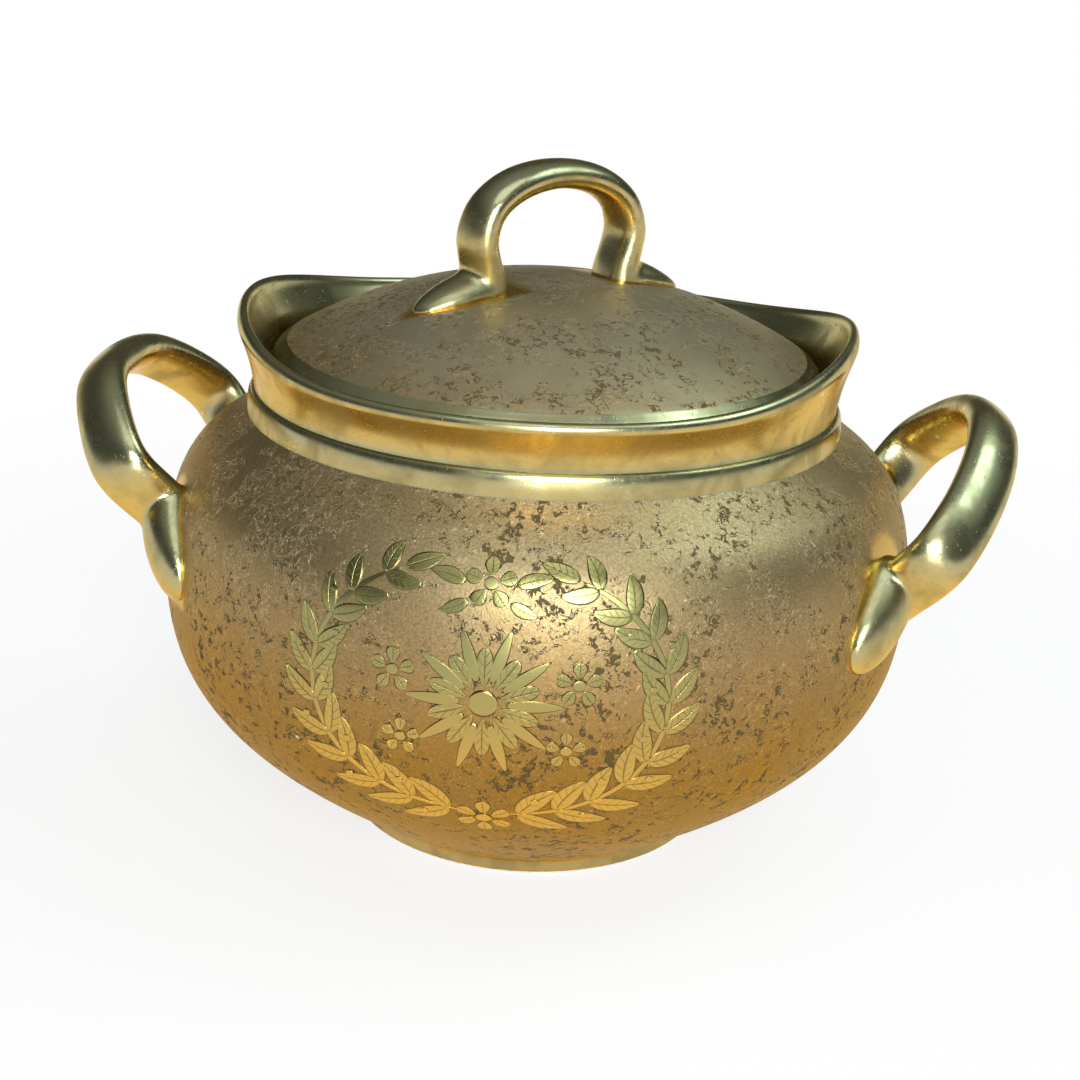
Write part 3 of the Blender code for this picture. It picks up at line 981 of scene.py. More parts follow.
    def raise_wings(self, rings: np.ndarray) -> np.ndarray:
        """Lifts the rim above the ledge by the share of its height there, times the wing's rise,
        times the fifth power of the cosine of the turn from the handles.

        Args:
            rings: the bowl's rings.

        Returns:
            The lifted rings.
        """
        share = np.clip((rings[..., 2] - self.ledge[1]) / (self.rim[1] - self.ledge[1]), 0.0, 1.0)
        sideways = np.abs(rings[..., 0]) / np.hypot(rings[..., 0], rings[..., 1])
        lifted = rings.copy()
        lifted[..., 2] += share * self.wing_rise * sideways**self.wing_power
        return lifted

    def wrap(self, flat: np.ndarray, turn: float, height: float) -> np.ndarray:
        """Lays flat points on the body. X becomes an angle, at the radius found there, Y a length
        along the side, and the third number a distance out from the wall.

        Args:
            flat: points as any shape by three.
            turn: the angle of the middle.
            height: the height of the middle.

        Returns:
            The points in space, in the same shape.
        """
        side = self.body_side()
        tangent = along_line(side)
        length = np.concatenate([[0.0], np.cumsum(np.linalg.norm(np.diff(side, axis=0), axis=1))])
        where = np.interp(height, side[:, 1], length) + flat[..., 1]
        columns = (side[:, 0], side[:, 1], tangent[:, 1], tangent[:, 0])
        radius, z, rise, lean = (np.interp(where, length, column) for column in columns)
        angle = math.radians(turn) + flat[..., 0] / radius
        radius = radius + rise * flat[..., 2]
        return np.stack([radius * np.cos(angle), radius * np.sin(angle), z - lean * flat[..., 2]], -1)

    def build(self, finishes: Finishes, handle: "BowlHandle") -> bpy.types.Object:
        """The bowl's surface.

        Args:
            finishes: the materials.
            handle: the handles, round whose feet the ground is smooth.

        Returns:
            The piece, riding on the bowl's body.
        """
        section = self.section()
        tube = section.turned(self.segments)
        tube.rings = self.raise_wings(tube.rings)
        tube.values["gilded"] = handle.smooth_ground(tube.vertices())
        materials = [finishes.etched, finishes.burnished, finishes.glaze]
        made = make_object("bowl_wall", [tube], materials, section.strips())
        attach(made, "bowl_body")
        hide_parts("bowl")
        return made


@dataclass
class BowlHandle:
    """A bowl's handle: a leaning loop with a foot to the front and one to the back, and a keel
    below each foot."""

    bowl: Bowl
    height: float = 0.0545
    stand: float = 0.0010
    lean: float = 52.5
    rise: float = 0.0253
    half_span: float = 0.0266
    foot: float = 0.0238
    thickness: float = 0.0047
    width: float = 0.0101
    root_depth: float = 0.0130
    powers: tuple[float, float, float] = (0.95, 0.6, 0.82)
    tail_start: float = -0.32
    tail_turn: float = 33.5
    tail_drop: float = 0.0098
    tail_stand: float = 0.0044
    tail_width: float = 0.0112
    tail_powers: Pair = (0.7, 0.6)
    tip: float = 0.0002
    probe: float = 0.0003
    droop: Pair = (-0.0027, 0.0018)
    droop_span: Span = (0.002, 0.022)
    tail_droop: float = 0.5
    gilded_margin: float = 0.0011
    gilded_tip: float = 0.0006
    gilded_span: Span = (-0.0004, 0.0008)
    sunk: float = 0.0010
    steps: int = 14
    sides: int = 48

    @property
    def base(self) -> float:
        """Distance from the axis to the middle between the feet."""
        wall = float(self.bowl.radius_at(self.height))
        return math.sqrt(wall**2 - self.foot**2) + self.stand

    @property
    def first_turn(self) -> float:
        """The angle from the handle's middle to a foot."""
        return math.degrees(math.atan2(self.foot, self.base))

    def strap(self) -> Tube:
        """The right handle's loop: stations in its own plane, which is then leaned out. There X of
        the plane becomes Y, and its upward axis the slope of the lean.

        Returns:
            The loop, from inside the wall at one foot to inside it at the other.
        """
        thick, wide, deep = self.thickness, self.width, self.root_depth
        # X, height up the plane, thickness and width, from the root up.
        left = [
            (-self.foot, -deep, thick, 0.5 * wide),
            (-self.foot, -0.5 * deep, thick, 0.7 * wide),
            (-self.foot, 0.0, 1.1 * thick, 0.95 * wide),
            (-self.half_span, 0.44 * self.rise, thick, wide),
            (-0.54 * self.half_span, 0.88 * self.rise, 1.11 * thick, 0.95 * wide),
        ]
        stations = mirrored(left, (0.0, self.rise, 1.22 * thick, 0.91 * wide), self.steps)
        flat = strap_rings(stations, self.sides, *self.powers)
        slope, level = math.sin(math.radians(self.lean)), math.cos(math.radians(self.lean))
        leaned = np.array([[0.0, -slope, level], [1.0, 0.0, 0.0], [0.0, level, slope]])
        return Tube.capped(flat @ leaned.T + np.array([self.base, 0.0, self.height]))

    def tail(self, side: Side) -> Tube:
        """The keel below one foot of the right handle. Its middle line runs down round the body.
        Each ring is an ellipse that stands on the wall and shrinks towards the tip: its height by
        one less the square of the share, to the power 0.7, and its width by one less the fourth
        power, to the power 0.6. Behind the foot both fade as a circle does.

        Args:
            side: the sign of Y on the foot's side.

        Returns:
            The keel.
        """
        before = np.linspace(self.tail_start, 0.0, 9)[:-1]
        share = np.concatenate([before, np.linspace(0.0, 1.0, 41)])[:, None]
        height = self.height - self.tail_drop * share
        turn = np.radians(side.value * (self.first_turn + (self.tail_turn - self.first_turn) * share))
        radius, probe = self.bowl.radius_at(height), self.probe
        rise = self.bowl.radius_at(height + probe) - self.bowl.radius_at(height - probe)
        centre = np.hstack([radius * np.cos(turn), radius * np.sin(turn), height])
        outward = np.hstack([np.cos(turn), np.sin(turn), -rise / (2 * probe)])
        outward /= np.linalg.norm(outward, axis=1, keepdims=True)
        across = np.cross(outward, along_line(centre))
        across /= np.linalg.norm(across, axis=1, keepdims=True)
        ahead, behind = np.maximum(share, 0.0), np.minimum(share, 0.0) / (self.tail_start - 0.01)
        fade = np.sqrt(np.clip(1.0 - behind**2, 0.0, 1.0))
        stand = self.tail_stand * fade * (1 - ahead**2) ** self.tail_powers[0] + self.tip
        width = self.tail_width * fade * (1 - ahead**4) ** self.tail_powers[1] + self.tip
        angle = np.arange(self.sides)[None] * (math.tau / self.sides)
        up, wide = np.cos(angle) * stand, np.sin(angle) * width / 2
        return Tube.capped(
            centre[:, None] + outward[:, None] * up[..., None] + across[:, None] * wide[..., None]
        )

    def smooth_ground(self, points: np.ndarray) -> np.ndarray:
        """How smooth the bowl's ground is at each point: a smooth step on the distance to a keel's
        middle line. Lengths are taken along the belly's circle and upright.

        Args:
            points: rows of places on the bowl.

        Returns:
            One close to a keel and round a foot, none elsewhere.
        """
        belly, drop = self.bowl.belly[0], self.tail_drop
        turn = np.arctan2(np.abs(points[:, 1]), np.abs(points[:, 0]))
        run = belly * math.radians(self.tail_turn - self.first_turn)
        across = belly * (turn - math.radians(self.first_turn))
        down = self.height - points[:, 2]
        ahead = np.clip((across * run + down * drop) / (run**2 + drop**2), 0.0, 1.0)
        off = np.hypot(across - ahead * run, down - ahead * drop)
        half = 0.5 * self.tail_width + self.gilded_margin
        return 1.0 - step_between(off - half * (1 - ahead**4) - self.gilded_tip, *self.gilded_span)

    def placed(self, points: np.ndarray, side: Side, droop: float) -> np.ndarray:
        """Moves points of the right handle to their place. The near leg is shifted up or down by a
        smooth step over Y, points deeper in the wall than the set depth come out to it, and X takes
        the side's sign.

        Args:
            points: places of any shape by three.
            side: which side the handle is on.
            droop: how far the near leg is shifted.

        Returns:
            The moved points.
        """
        moved = points.copy()
        moved[..., 2] += droop * step_between(-moved[..., 1], *self.droop_span)
        radius = np.hypot(moved[..., 0], moved[..., 1])
        least = self.bowl.radius_at(moved[..., 2]) - self.sunk
        moved[..., :2] *= (np.maximum(radius, least) / np.maximum(radius, TINY))[..., None]
        moved[..., 0] *= side.value
        return moved

    def build(self, side: Side, finishes: Finishes) -> bpy.types.Object:
        """A handle on one side.

        Args:
            side: which side it is on.
            finishes: the materials.

        Returns:
            The piece, riding on the bowl's body.
        """
        name = f"handle_{side.name.lower()}"
        droop = self.droop[0] if side is Side.RIGHT else self.droop[1]
        parts = [(self.strap(), droop)]
        parts += [(self.tail(foot), droop * self.tail_droop) for foot in Side]
        tubes = [tube.moved(partial(self.placed, side=side, droop=fall)) for tube, fall in parts]
        made = make_object(f"{name}_strap", tubes, [finishes.burnished])
        fuse(made)
        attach(made, "bowl_body")
        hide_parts(name)
        return made


@dataclass
class Ornament:
    """A raised wreath of laurel with daisies, cut out of the etched ground.

    Its own sizes are in millimetres: X runs round the body and Y up along it.
    """

    bowl: Bowl
    relief: float = 0.07
    root: float = -0.30
    boss_lift: float = 0.08
    stem_lift: float = -0.04
    squareness: Pair = (0.55, 0.35)
    wreath: Pair = (27.0, 21.0)
    branch_arc: Pair = (-84.0, 62.0)
    stem_width: float = 0.9
    leaf: Pair = (8.6, 3.7)
    leaf_spread: float = 36.0
    leaf_bow: float = 0.07
    leaves: int = 11
    shrink: float = 0.35
    berry: float = 0.75
    berry_off: float = 2.9
    star_rays: int = 10
    star: tuple[float, float, float] = (3.2, 8.6, 1.9)  # start from the middle, length, width
    daisies: tuple[tuple, ...] = (  # X, Y, count of petals, their start, length and width
        (0.0, 0.0, 10, 2.5, 5.9, 2.9),
        (13.6, 3.4, 5, 1.1, 2.3, 2.5),
        (12.2, -7.0, 5, 1.0, 2.0, 2.2),
        (-13.6, 3.4, 5, 1.1, 2.3, 2.5),
        (-12.2, -7.0, 5, 1.0, 2.0, 2.2),
        (0.0, -22.4, 6, 1.4, 3.0, 2.9),
        (0.0, 17.6, 5, 1.2, 2.6, 2.7),
    )
    sprigs: tuple[tuple, ...] = (  # on the right: X, Y, turn, length, width, bow
        (3.6, 17.4, 14.0, 5.6, 2.3, 0.06),
        (3.0, 15.0, -24.0, 4.6, 1.9, -0.06),
    )
    columns: int = 14

    def ribbon(self, line: np.ndarray, half: np.ndarray, veined: float, lift: float = 0.0) -> Tube:
        """A flat-topped ridge along a line. In each cross-section the place across is the half
        width times a squared-off cosine, and the height a strongly squared-off sine.

        Args:
            line: points of the middle line, with its two tips.
            half: the half width at each point of the line.
            veined: one if engraved veins run over it, else none.
            lift: how much higher than the others it stands.

        Returns:
            The ridge, still flat, with the values along and across at each point.
        """
        tangent, middle = along_line(line)[1:-1], line[1:-1]
        angle = np.arange(self.columns) * (math.tau / self.columns)
        across = np.sign(np.cos(angle)) * np.abs(np.cos(angle)) ** self.squareness[0]
        level = np.abs(np.sin(angle)) ** self.squareness[1]
        height = np.where(np.sin(angle) > 0, (self.relief + lift) * level, self.root * level)
        normal = np.stack([-tangent[:, 1], tangent[:, 0]], 1)
        flat = middle[:, None, :] + normal[:, None, :] * (half[1:-1, None] * across)[..., None]
        rings = np.concatenate([flat, np.broadcast_to(height, flat.shape[:2])[..., None]], -1)
        share = np.linspace(0.0, 1.0, len(line))
        values = {
            "along": np.concatenate([np.repeat(share[1:-1], self.columns), [0.0, 1.0]]),
            "across": np.concatenate([np.tile(across, len(middle)), [1.0, 1.0]]),
            "veined": np.full(len(middle) * self.columns + 2, veined),
        }
        return Tube(rings, np.append(line[0], 0.0), np.append(line[-1], 0.0), values)

    def blade(
        self, base: Pair, turn: float, length: float, width: float, bow: float = 0.0, veined: float = 1.0
    ) -> Tube:
        """A pointed leaf: its half width goes as the sine of the share along it to the power 0.8,
        itself to the power 0.8, and its middle line is bent into a parabola.

        Args:
            base: where it starts.
            turn: the angle it points at.
            length, width: its size.
            bow: how far the parabola bulges, as a share of the length.
            veined: one if engraved veins run over it, else none.

        Returns:
            The leaf.
        """
        share = np.linspace(0.0, 1.0, 15)
        line = self.turned_line(length * share, bow * length * 4 * share * (1 - share), base, turn)
        half = 0.5 * width * np.abs(np.sin(np.pi * share**0.8)) ** 0.8 + 0.05
        return self.ribbon(line, half, veined)

    def petal(self, base: Pair, turn: float, length: float, width: float) -> Tube:
        """A rounded petal: its half width goes as the root of a sine, and grows towards the tip.

        Args:
            base: where it starts.
            turn: the angle it points at.
            length, width: its size.

        Returns:
            The petal.
        """
        share = 0.5 - 0.5 * np.cos(np.pi * np.linspace(0.0, 1.0, 13))
        half = 0.5 * width * np.sqrt(np.abs(np.sin(np.pi * share))) * (0.55 + 0.6 * share)
        return self.ribbon(self.turned_line(length * share, 0.0 * share, base, turn), half, 1.0)

    def disc(self, middle: Pair, radius: float) -> Tube:
        """A round boss: the line runs as a cosine and the half width as the sine of one angle.

        Args:
            middle: where it is.
            radius: its size.

        Returns:
            The boss.
        """
        angle = np.linspace(0.0, np.pi, 11)
        line = np.stack([middle[0] - radius * np.cos(angle), middle[1] + 0.0 * angle], 1)
        return self.ribbon(line, radius * np.sin(angle), 0.0, self.boss_lift)

    def stem(self, line: np.ndarray) -> Tube:
        """A thin ridge of even width that tapers over a sixth of its length at both its ends.

        Args:
            line: its middle line.

        Returns:
            The stem.
        """
        share = np.linspace(0.0, 1.0, len(line))
        half = 0.5 * self.stem_width * np.minimum(1.0, 6 * np.minimum(share, 1 - share) + 0.3)
        return self.ribbon(line, half, 0.0, self.stem_lift)

    @staticmethod
    def turned_line(run: np.ndarray, off: np.ndarray, base: Pair, turn: float) -> np.ndarray:
        """A line laid out along X, turned by an angle and moved to its base."""
        c, s = math.cos(math.radians(turn)), math.sin(math.radians(turn))
        return np.stack([base[0] + c * run - s * off, base[1] + s * run + c * off], 1)

    def daisy(self, middle: Pair, petals: int, inner: float, length: float, width: float) -> list[Tube]:
        """A flower of equal petals round a boss.

        Args:
            middle: where it is.
            petals: how many petals it has.
            inner: how far from the middle they start.
            length, width: a petal's size.

        Returns:
            The boss and the petals.
        """
        shapes = [self.disc(middle, inner * 0.86)]
        for turn in (90.0 + 360.0 * number / petals for number in range(petals)):
            c, s = math.cos(math.radians(turn)), math.sin(math.radians(turn))
            start = (middle[0] + inner * c, middle[1] + inner * s)
            shapes.append(self.petal(start, turn, length, width))
        return shapes

    def branch(self, side: int) -> list[Tube]:
        """One branch of the wreath: a stem on an ellipse, with a pair of leaves at even steps,
        which shrink towards the tip, and berries by turns on the left and the right.

        Args:
            side: the sign of X there.

        Returns:
            The stem, the leaves and the berries.
        """
        angle = np.radians(np.linspace(*self.branch_arc, 60))
        line = np.stack([side * self.wreath[0] * np.cos(angle), self.wreath[1] * np.sin(angle)], 1)
        tangent = along_line(line)
        heading = np.degrees(np.arctan2(tangent[:, 1], tangent[:, 0]))
        length, width = self.leaf
        shapes = [self.stem(line)]
        for number in range(self.leaves):
            index = int(2 + number * 54 / (self.leaves - 1))
            size = 1.0 - self.shrink * number / self.leaves
            for hand in (1, -1):
                turn = heading[index] + self.leaf_spread * hand
                bow = self.leaf_bow * hand
                shapes.append(self.blade(tuple(line[index]), turn, length * size, width * size, bow))
            if 0 < number < self.leaves - 1:
                off = self.berry_off * size * (1 if number % 2 else -1)
                x, y = line[index - 2] + off * np.array([-1.0, 1.0]) * tangent[index - 2, ::-1]
                shapes.append(self.disc((x, y), self.berry * size))
        shapes.append(self.blade(tuple(line[-1]), heading[-1], length * 0.75, width * 0.7))
        return shapes

    def shapes(self) -> list[Tube]:
        """The whole design: two branches, a large daisy on a star, six small ones and four leaves.

        Returns:
            Every ridge, still flat.
        """
        shapes = self.branch(1) + self.branch(-1)
        inner, length, width = self.star
        for turn in (72.0 + 360.0 / self.star_rays * number for number in range(self.star_rays)):
            start = (inner * math.cos(math.radians(turn)), inner * math.sin(math.radians(turn)))
            shapes.append(self.blade(start, turn, length, width, veined=0.0))
        for x, y, *sizes in self.daisies:
            shapes += self.daisy((x, y), *sizes)
        for side in (1, -1):
            for x, y, turn, length, width, bow in self.sprigs:
                away = 90.0 - 90.0 * side + turn * side
                shapes.append(self.blade((x * side, y), away, length, width, bow * side))
        return shapes

    def build(self, name: str, turn: float, height: float, finishes: Finishes) -> bpy.types.Object:
        """The design laid on the body.

        Args:
            name: the piece's name.
            turn: the angle of its middle.
            height: the height of its middle.
            finishes: the materials.

        Returns:
            The piece, riding on the bowl's body.
        """
        tubes = [
            shape.moved(lambda flat: self.bowl.wrap(flat * MM, turn, height)) for shape in self.shapes()
        ]
        made = make_object(name, tubes, [finishes.engraved], crease=60.0)
        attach(made, "bowl_body")
        return made


@dataclass
class Lid:
    """The domed lid with its edge band and the flange that keeps it in the neck."""

    radius: float = 0.0457
    bottom: float = 0.0783
    edge_height: float = 0.0034
    edge_fillet: float = 0.15
    band_width: float = 0.0023
    band_drop: float = 0.0015
    band_pulls: tuple[float, float, float, float] = (0.4, 0.3, 0.1, 0.3)
    dome_rise: float = 0.0113
    dome_power: float = 2.2
    wall: float = 0.0030
    flange_radius: float = 0.0430
    flange_depth: float = 0.0050
    flange_wall: float = 0.0026
    flange_chamfer: Pair = (0.25, 0.8)
    curve_steps: int = 12
    dome_steps: tuple[int, int] = (49, 33)
    segments: int = 256

    @property
    def dome_radius(self) -> float:
        """Where the dome ends and the edge band begins."""
        return self.radius - self.band_width

    @property
    def dome_base(self) -> float:
        """Height of the dome's edge."""
        return self.bottom + self.edge_height + self.band_drop

    def dome_height(self, radius: np.ndarray | float) -> np.ndarray:
        """The dome's height: its top less its rise times the share of its radius to a power."""
        share = np.abs(radius) / self.dome_radius
        return self.dome_base + self.dome_rise * (1.0 - share**self.dome_power)

    def section(self) -> Section:
        """The whole section: down the dome, round the edge and the flange, and up inside.

        Returns:
            The section, with both its ends on the axis.
        """
        section = Section()
        out = self.dome_radius * np.linspace(0.0, 1.0, self.dome_steps[0])
        section.add(np.stack([out, self.dome_height(out)], 1), Zone.ETCHED)
        edge_top, radius, bottom = self.dome_base - self.band_drop, self.radius, self.bottom
        inward, upward, above, below = self.band_pulls
        band = bend(
            section.last(),
            (radius - inward * self.band_width, edge_top + upward * self.band_drop),
            (radius, edge_top + above * self.band_drop),
            (radius, edge_top - below * self.edge_height),
            self.curve_steps,
        )
        section.add(band, Zone.BURNISHED)
        fillet = self.edge_fillet * self.edge_height
        section.add([(radius, bottom + fillet), (radius - fillet, bottom)], Zone.BURNISHED)
        flange, low = self.flange_radius, bottom - self.flange_depth
        inner = flange - self.flange_wall
        chamfer = (flange - self.flange_chamfer[0] * self.flange_wall, low)
        side = [(flange, bottom), (flange, bottom - self.flange_chamfer[1] * self.flange_depth)]
        section.add([*side, chamfer, (inner, low)], Zone.GLAZED)
        back = inner * np.linspace(1.0, 0.0, self.dome_steps[1])
        section.add(np.stack([back, self.dome_height(back) - self.wall], 1), Zone.GLAZED)
        return section

    def build(self, finishes: Finishes, loop: "LidLoop") -> bpy.types.Object:
        """The lid's surface.

        Args:
            finishes: the materials.
            loop: its handle, round whose feet the ground is smooth.

        Returns:
            The piece, riding on the lid's body.
        """
        section = self.section()
        tube = section.turned(self.segments)
        tube.values["gilded"] = loop.smooth_ground(tube.vertices())
        materials = [finishes.lid_etched, finishes.burnished, finishes.glaze]
        made = make_object("lid_dome", [tube], materials, section.strips())
        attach(made, "lid_body")
        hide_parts("lid")
        return made


@dataclass
class LidLoop:
    """The lid's loop handle, whose feet run out along the dome as two keels."""

    lid: Lid
    rise: float = 0.0171
    half_span: float = 0.0149
    arch_share: float = 0.55
    foot: float = 0.0134
    thickness: float = 0.0050
    width: float = 0.0090
    powers: tuple[float, float, float] = (0.95, 0.75, 0.9)
    tail_end: float = 0.0270
    tail_stand: float = 0.0034
    tail_widening: float = 1.05
    tail_powers: Pair = (0.8, 0.7)
    tip: float = 0.0002
    turn: float = 41.5
    root_depth: float = 0.0060
    gilded_margin: float = 0.0012
    gilded_end: float = 0.0020
    gilded_inner: Pair = (0.0065, 0.0040)
    gilded_span: Span = (-0.0004, 0.0010)
    sunk: float = 0.0010
    steps: int = 16
    sides: int = 48
    rounds: int = 40

    def strap(self) -> Tube:
        """The loop as stations from inside the dome on one side to the other, before its turn.

        Returns:
            The loop.
        """
        thick, wide, half = self.thickness, self.width, self.half_span
        top = float(self.lid.dome_height(0.0))
        arch = self.arch_share * self.rise
        # X, height, thickness and width, from the root up.
        left = [
            (-self.foot, top - self.root_depth, 1.6 * thick, 1.3 * wide),
            (-self.foot, top, 1.25 * thick, 1.05 * wide),
            (-0.965 * half, top + 0.24 * self.rise, 1.1 * thick, 1.03 * wide),
            (-half, top + self.rise - arch, 1.04 * thick, 1.03 * wide),
            (-0.866 * half, top + self.rise - 0.5 * arch, thick, wide),
            (-0.5 * half, top + self.rise - 0.134 * arch, thick, wide),
        ]
        stations = mirrored(left, (0.0, top + self.rise, 0.96 * thick, 0.98 * wide), self.steps)
        return Tube.capped(strap_rings(stations, self.sides, *self.powers))

    def tail(self, side: Side) -> Tube:
        """A keel beside one foot: an ellipse that sinks into the dome as it runs out. Its height
        goes as one less the share to the power 1.5, to the power 0.8, and its width as one less
        the third power, to the power 0.7.

        Args:
            side: the sign of X on the foot's side.

        Returns:
            The keel.
        """
        share = np.linspace(0.0, 1.0, 40)
        radius = self.foot + (self.tail_end - self.foot) * share
        stand = self.tail_stand * (1 - share**1.5) ** self.tail_powers[0] + self.tip
        width = self.tail_widening * self.width * (1 - share**3) ** self.tail_powers[1] + self.tip
        stations = np.stack([side.value * radius, self.lid.dome_height(radius), 2 * stand, width], 1)
        return Tube.capped(strap_rings(stations, self.sides, 1.0, 1.0, 1.0))

    def smooth_ground(self, points: np.ndarray) -> np.ndarray:
        """How smooth the dome is at each point: a smooth step on the distance to the loop's line,
        beyond a reach that narrows by one less the share along a keel to the power 1.8.

        Args:
            points: rows of places on the lid.

        Returns:
            One close to the feet and keels, none elsewhere.
        """
        c, s = math.cos(math.radians(self.turn)), math.sin(math.radians(self.turn))
        along = np.abs(points[:, 0] * c + points[:, 1] * s)
        off = np.abs(points[:, 1] * c - points[:, 0] * s)
        end = self.tail_end + self.gilded_end
        share = np.clip((along - self.foot) / (end - self.foot), 0.0, 1.0)
        reach = (0.6 * self.width + self.gilded_margin) * (1 - share**1.8)
        inner = step_between(along, *(self.foot - margin for margin in self.gilded_inner))
        return inner * (1.0 - step_between(off - reach, *self.gilded_span)) * (share < 1.0)

    def placed(self, points: np.ndarray) -> np.ndarray:
        """Lifts points that lie deeper under the dome than the set depth to that depth, and turns
        all of them about Z.

        Args:
            points: places of any shape by three.

        Returns:
            The moved points.
        """
        least = self.lid.dome_height(np.hypot(points[..., 0], points[..., 1])) - self.sunk
        moved = points.copy()
        moved[..., 2] = np.maximum(points[..., 2], least)
        c, s = math.cos(math.radians(self.turn)), math.sin(math.radians(self.turn))
        return moved @ np.array([[c, s, 0.0], [-s, c, 0.0], [0.0, 0.0, 1.0]])

    def build(self, finishes: Finishes) -> bpy.types.Object:
        """The loop with its keels.

        Args:
            finishes: the materials.

        Returns:
            The piece, riding on the lid's body.
        """
        tubes = [tube.moved(self.placed) for tube in (self.strap(), *map(self.tail, Side))]
        made = make_object("lid_loop", tubes, [finishes.burnished])
        fuse(made, rounds=self.rounds)
        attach(made, "lid_body")
        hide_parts("lid_handle")
        return made


# ---------------------------------------------------------------------------------------------
# The studio


@dataclass
class Lamp:
    """A soft square lamp: where it stands, its size, power and colour, and what it faces."""

    name: str
    place: tuple[float, float, float]
    size: float
    power: float
    colour: tuple[float, float, float]
    aim: tuple[float, float, float] = (0.0, 0.0, 0.05)

    def build(self) -> None:
        """Adds the lamp and turns it to what it faces."""
        data = bpy.data.lights.new(self.name, "AREA")
        data.size, data.energy, data.color = self.size, self.power, self.colour
        lamp = bpy.data.objects.new(self.name, data)
        lamp.location = self.place
        away = Vector(self.place) - Vector(self.aim)
        lamp.rotation_euler = away.to_track_quat("Z", "Y").to_euler()
        bpy.context.scene.collection.objects.link(lamp)


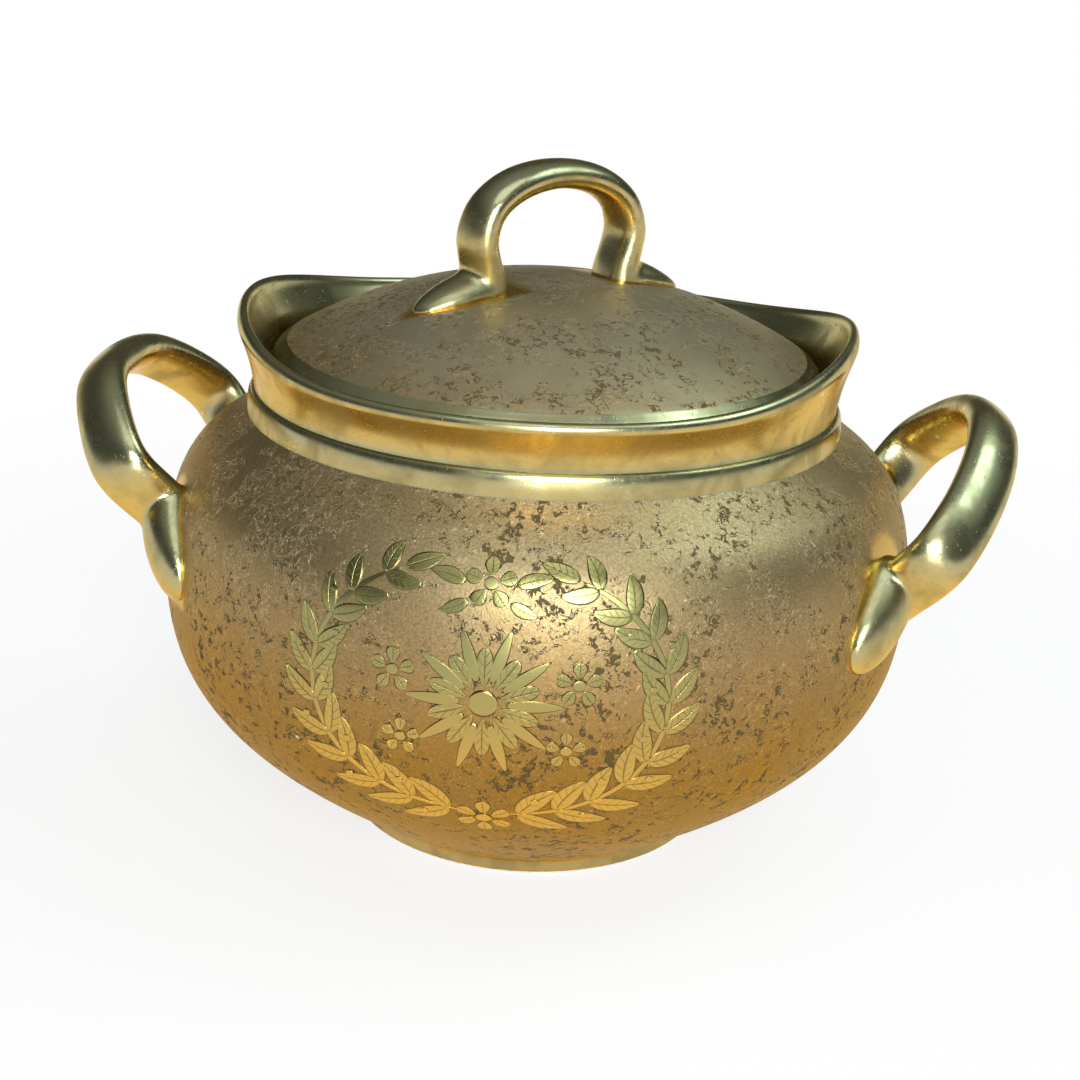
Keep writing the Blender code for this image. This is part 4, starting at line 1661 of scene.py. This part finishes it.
@dataclass
class Studio:
    """A white floor that fades into a white horizon, a dark surround, soft lamps and the camera."""

    distance: float = 0.300
    camera_height: float = 0.1553
    turn: float = 5.8
    heading: float = 5.73
    tilt: float = 19.68
    roll: float = 2.86
    lens: float = 60.78
    sensor: float = 36.0
    floor_radius: float = 12.0
    floor_top: float = -0.0001
    floor_thickness: float = 0.01
    floor_rings: int = 24
    floor_segments: int = 96
    floor_colour: Colour = (0.90, 0.90, 0.90, 1.0)
    floor_shade: Colour = (0.88, 0.88, 0.88, 1.0)
    floor_shaded: Span = (0.3, 0.7, 0.0, 0.25)
    floor_roughness: float = 0.9
    floor_gloss: float = 0.2
    glow: Span = (0.08, 0.30, 0.80, 1.0)
    white: Colour = (1.0, 1.0, 1.0, 1.0)
    surround: Colour = (0.085, 0.085, 0.085, 1.0)
    ceiling: Colour = (0.34, 0.35, 0.34, 1.0)
    horizon: Span = (0.01, 0.15)
    overhead: Span = (0.45, 0.95)
    lamps: tuple[Lamp, ...] = (
        Lamp("front lamp", (0.175, -0.82, 0.48), 0.30, 7.2, (0.94, 1.0, 0.97)),
        Lamp("low front lamp", (0.17, -0.85, 0.14), 0.24, 1.3, (0.97, 1.0, 0.95)),
        Lamp("top lamp", (0.0, -0.30, 0.95), 0.60, 1.6, (0.97, 1.0, 0.98)),
        Lamp("right lamp", (0.56, 0.10, 0.86), 0.50, 3.1, (0.78, 1.0, 1.0)),
    )

    def paper(self) -> bpy.types.Material:
        """The floor's material. Camera, glossy and transmission rays see it glow white, wholly
        further out and by four fifths near the bowl, where the matt floor keeps its shadow.

        Returns:
            The material.
        """
        material = bpy.data.materials.new("floor paper")
        material.use_nodes = True
        graph, nodes = Graph(material.node_tree), material.node_tree.nodes
        shader = nodes["Principled BSDF"]
        tone = graph.map(graph.noise(graph.place(), 6.0, 3.0), *self.floor_shaded)
        graph.put(shader.inputs["Base Color"], graph.mix(tone, self.floor_colour, self.floor_shade))
        shader.inputs["Roughness"].default_value = self.floor_roughness
        shader.inputs["Specular IOR Level"].default_value = self.floor_gloss
        path = graph.node("LightPath").outputs
        seen = graph.math("MAXIMUM", path["Is Camera Ray"], path["Is Glossy Ray"])
        seen = graph.math("MAXIMUM", seen, path["Is Transmission Ray"])
        distance = graph.node("VectorMath", {0: graph.place()}, operation="LENGTH").outputs["Value"]
        share = graph.times(seen, graph.map(distance, *self.glow))
        glow = graph.node("Emission", {"Color": self.white, "Strength": 1.0}).outputs[0]
        mixed = graph.node("MixShader", {0: share, 1: shader.outputs[0], 2: glow}).outputs[0]
        graph.put(nodes["Material Output"].inputs["Surface"], mixed)
        return material

    def floor(self) -> None:
        """A wide disc at height zero: rings of points whose radius grows as a square."""
        turn = np.arange(self.floor_segments) * (math.tau / self.floor_segments)
        radius = self.floor_radius * np.linspace(0.02, 1.0, self.floor_rings)[:, None] ** 2
        level = np.full((self.floor_rings, self.floor_segments), self.floor_top)
        rings = np.stack([radius * np.cos(turn), radius * np.sin(turn), level], -1)
        rings = np.vstack([rings, rings[::-1] - np.array([0.0, 0.0, self.floor_thickness])])
        ends = (np.array([0.0, 0.0, rings[row, 0, 2]]) for row in (0, -1))
        make_object("floor", [Tube(rings, *ends)], [self.paper()])

    def world(self) -> None:
        """Light from all round: white at the horizon, dark above it and grey overhead."""
        world = bpy.data.worlds.new("studio")
        world.use_nodes = True
        bpy.context.scene.world = world
        graph, back = Graph(world.node_tree), world.node_tree.nodes["Background"]
        direction = graph.node("TexCoord").outputs["Generated"]
        rise = graph.node("SeparateXYZ", {0: direction}).outputs["Z"]
        surround = graph.mix(graph.map(rise, *self.overhead), self.surround, self.ceiling)
        graph.put(back.inputs["Color"], graph.mix(graph.map(rise, *self.horizon), self.white, surround))

    def camera(self) -> None:
        """The camera: placed by turn, distance and height, then tilted down and rolled."""
        data = bpy.data.cameras.new("camera")
        data.lens, data.sensor_width = self.lens, self.sensor
        camera = bpy.data.objects.new("camera", data)
        turn = math.radians(self.turn)
        place = (self.distance * math.sin(turn), -self.distance * math.cos(turn), self.camera_height)
        camera.matrix_world = (
            Matrix.Translation(place)
            @ Matrix.Rotation(math.radians(self.heading), 4, "Z")
            @ Matrix.Rotation(math.radians(90.0 - self.tilt), 4, "X")
            @ Matrix.Rotation(math.radians(self.roll), 4, "Z")
        )
        bpy.context.scene.collection.objects.link(camera)
        bpy.context.scene.camera = camera

    def build(self) -> None:
        """Sets the whole studio up."""
        self.floor()
        self.world()
        for lamp in self.lamps:
            lamp.build()
        self.camera()
        bpy.context.scene.view_settings.view_transform = "Standard"


def report(made: bpy.types.Object) -> None:
    """Logs a piece's name, its count of points and its size in millimetres.

    Args:
        made: the piece.
    """
    points = np.empty(len(made.data.vertices) * 3, np.float32)
    made.data.vertices.foreach_get("co", points)
    size = np.ptp(points.reshape(-1, 3), axis=0) / MM
    LOG.info("%s: %d points, %.1f x %.1f x %.1f mm", made.name, len(made.data.vertices), *size)


def main() -> None:
    """Builds every piece around the frame, then the studio."""
    logging.basicConfig(level=logging.INFO, format="%(name)s: %(message)s")
    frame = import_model()
    for key in ("bodies", "nodes", "joints"):
        LOG.info("%s in the frame: %d", key, len(frame[key]))
    finishes = Finishes()
    bowl = Bowl()
    handle = BowlHandle(bowl)
    report(bowl.build(finishes, handle))
    for side in Side:
        report(handle.build(side, finishes))
    ornament = Ornament(bowl)
    report(ornament.build("ornament_front", -90.2, 0.0455, finishes))
    report(ornament.build("ornament_back", 90.0, 0.0455, finishes))
    lid = Lid()
    loop = LidLoop(lid)
    report(lid.build(finishes, loop))
    report(loop.build(finishes))
    Studio().build()


if __name__ == "__main__":
    main()
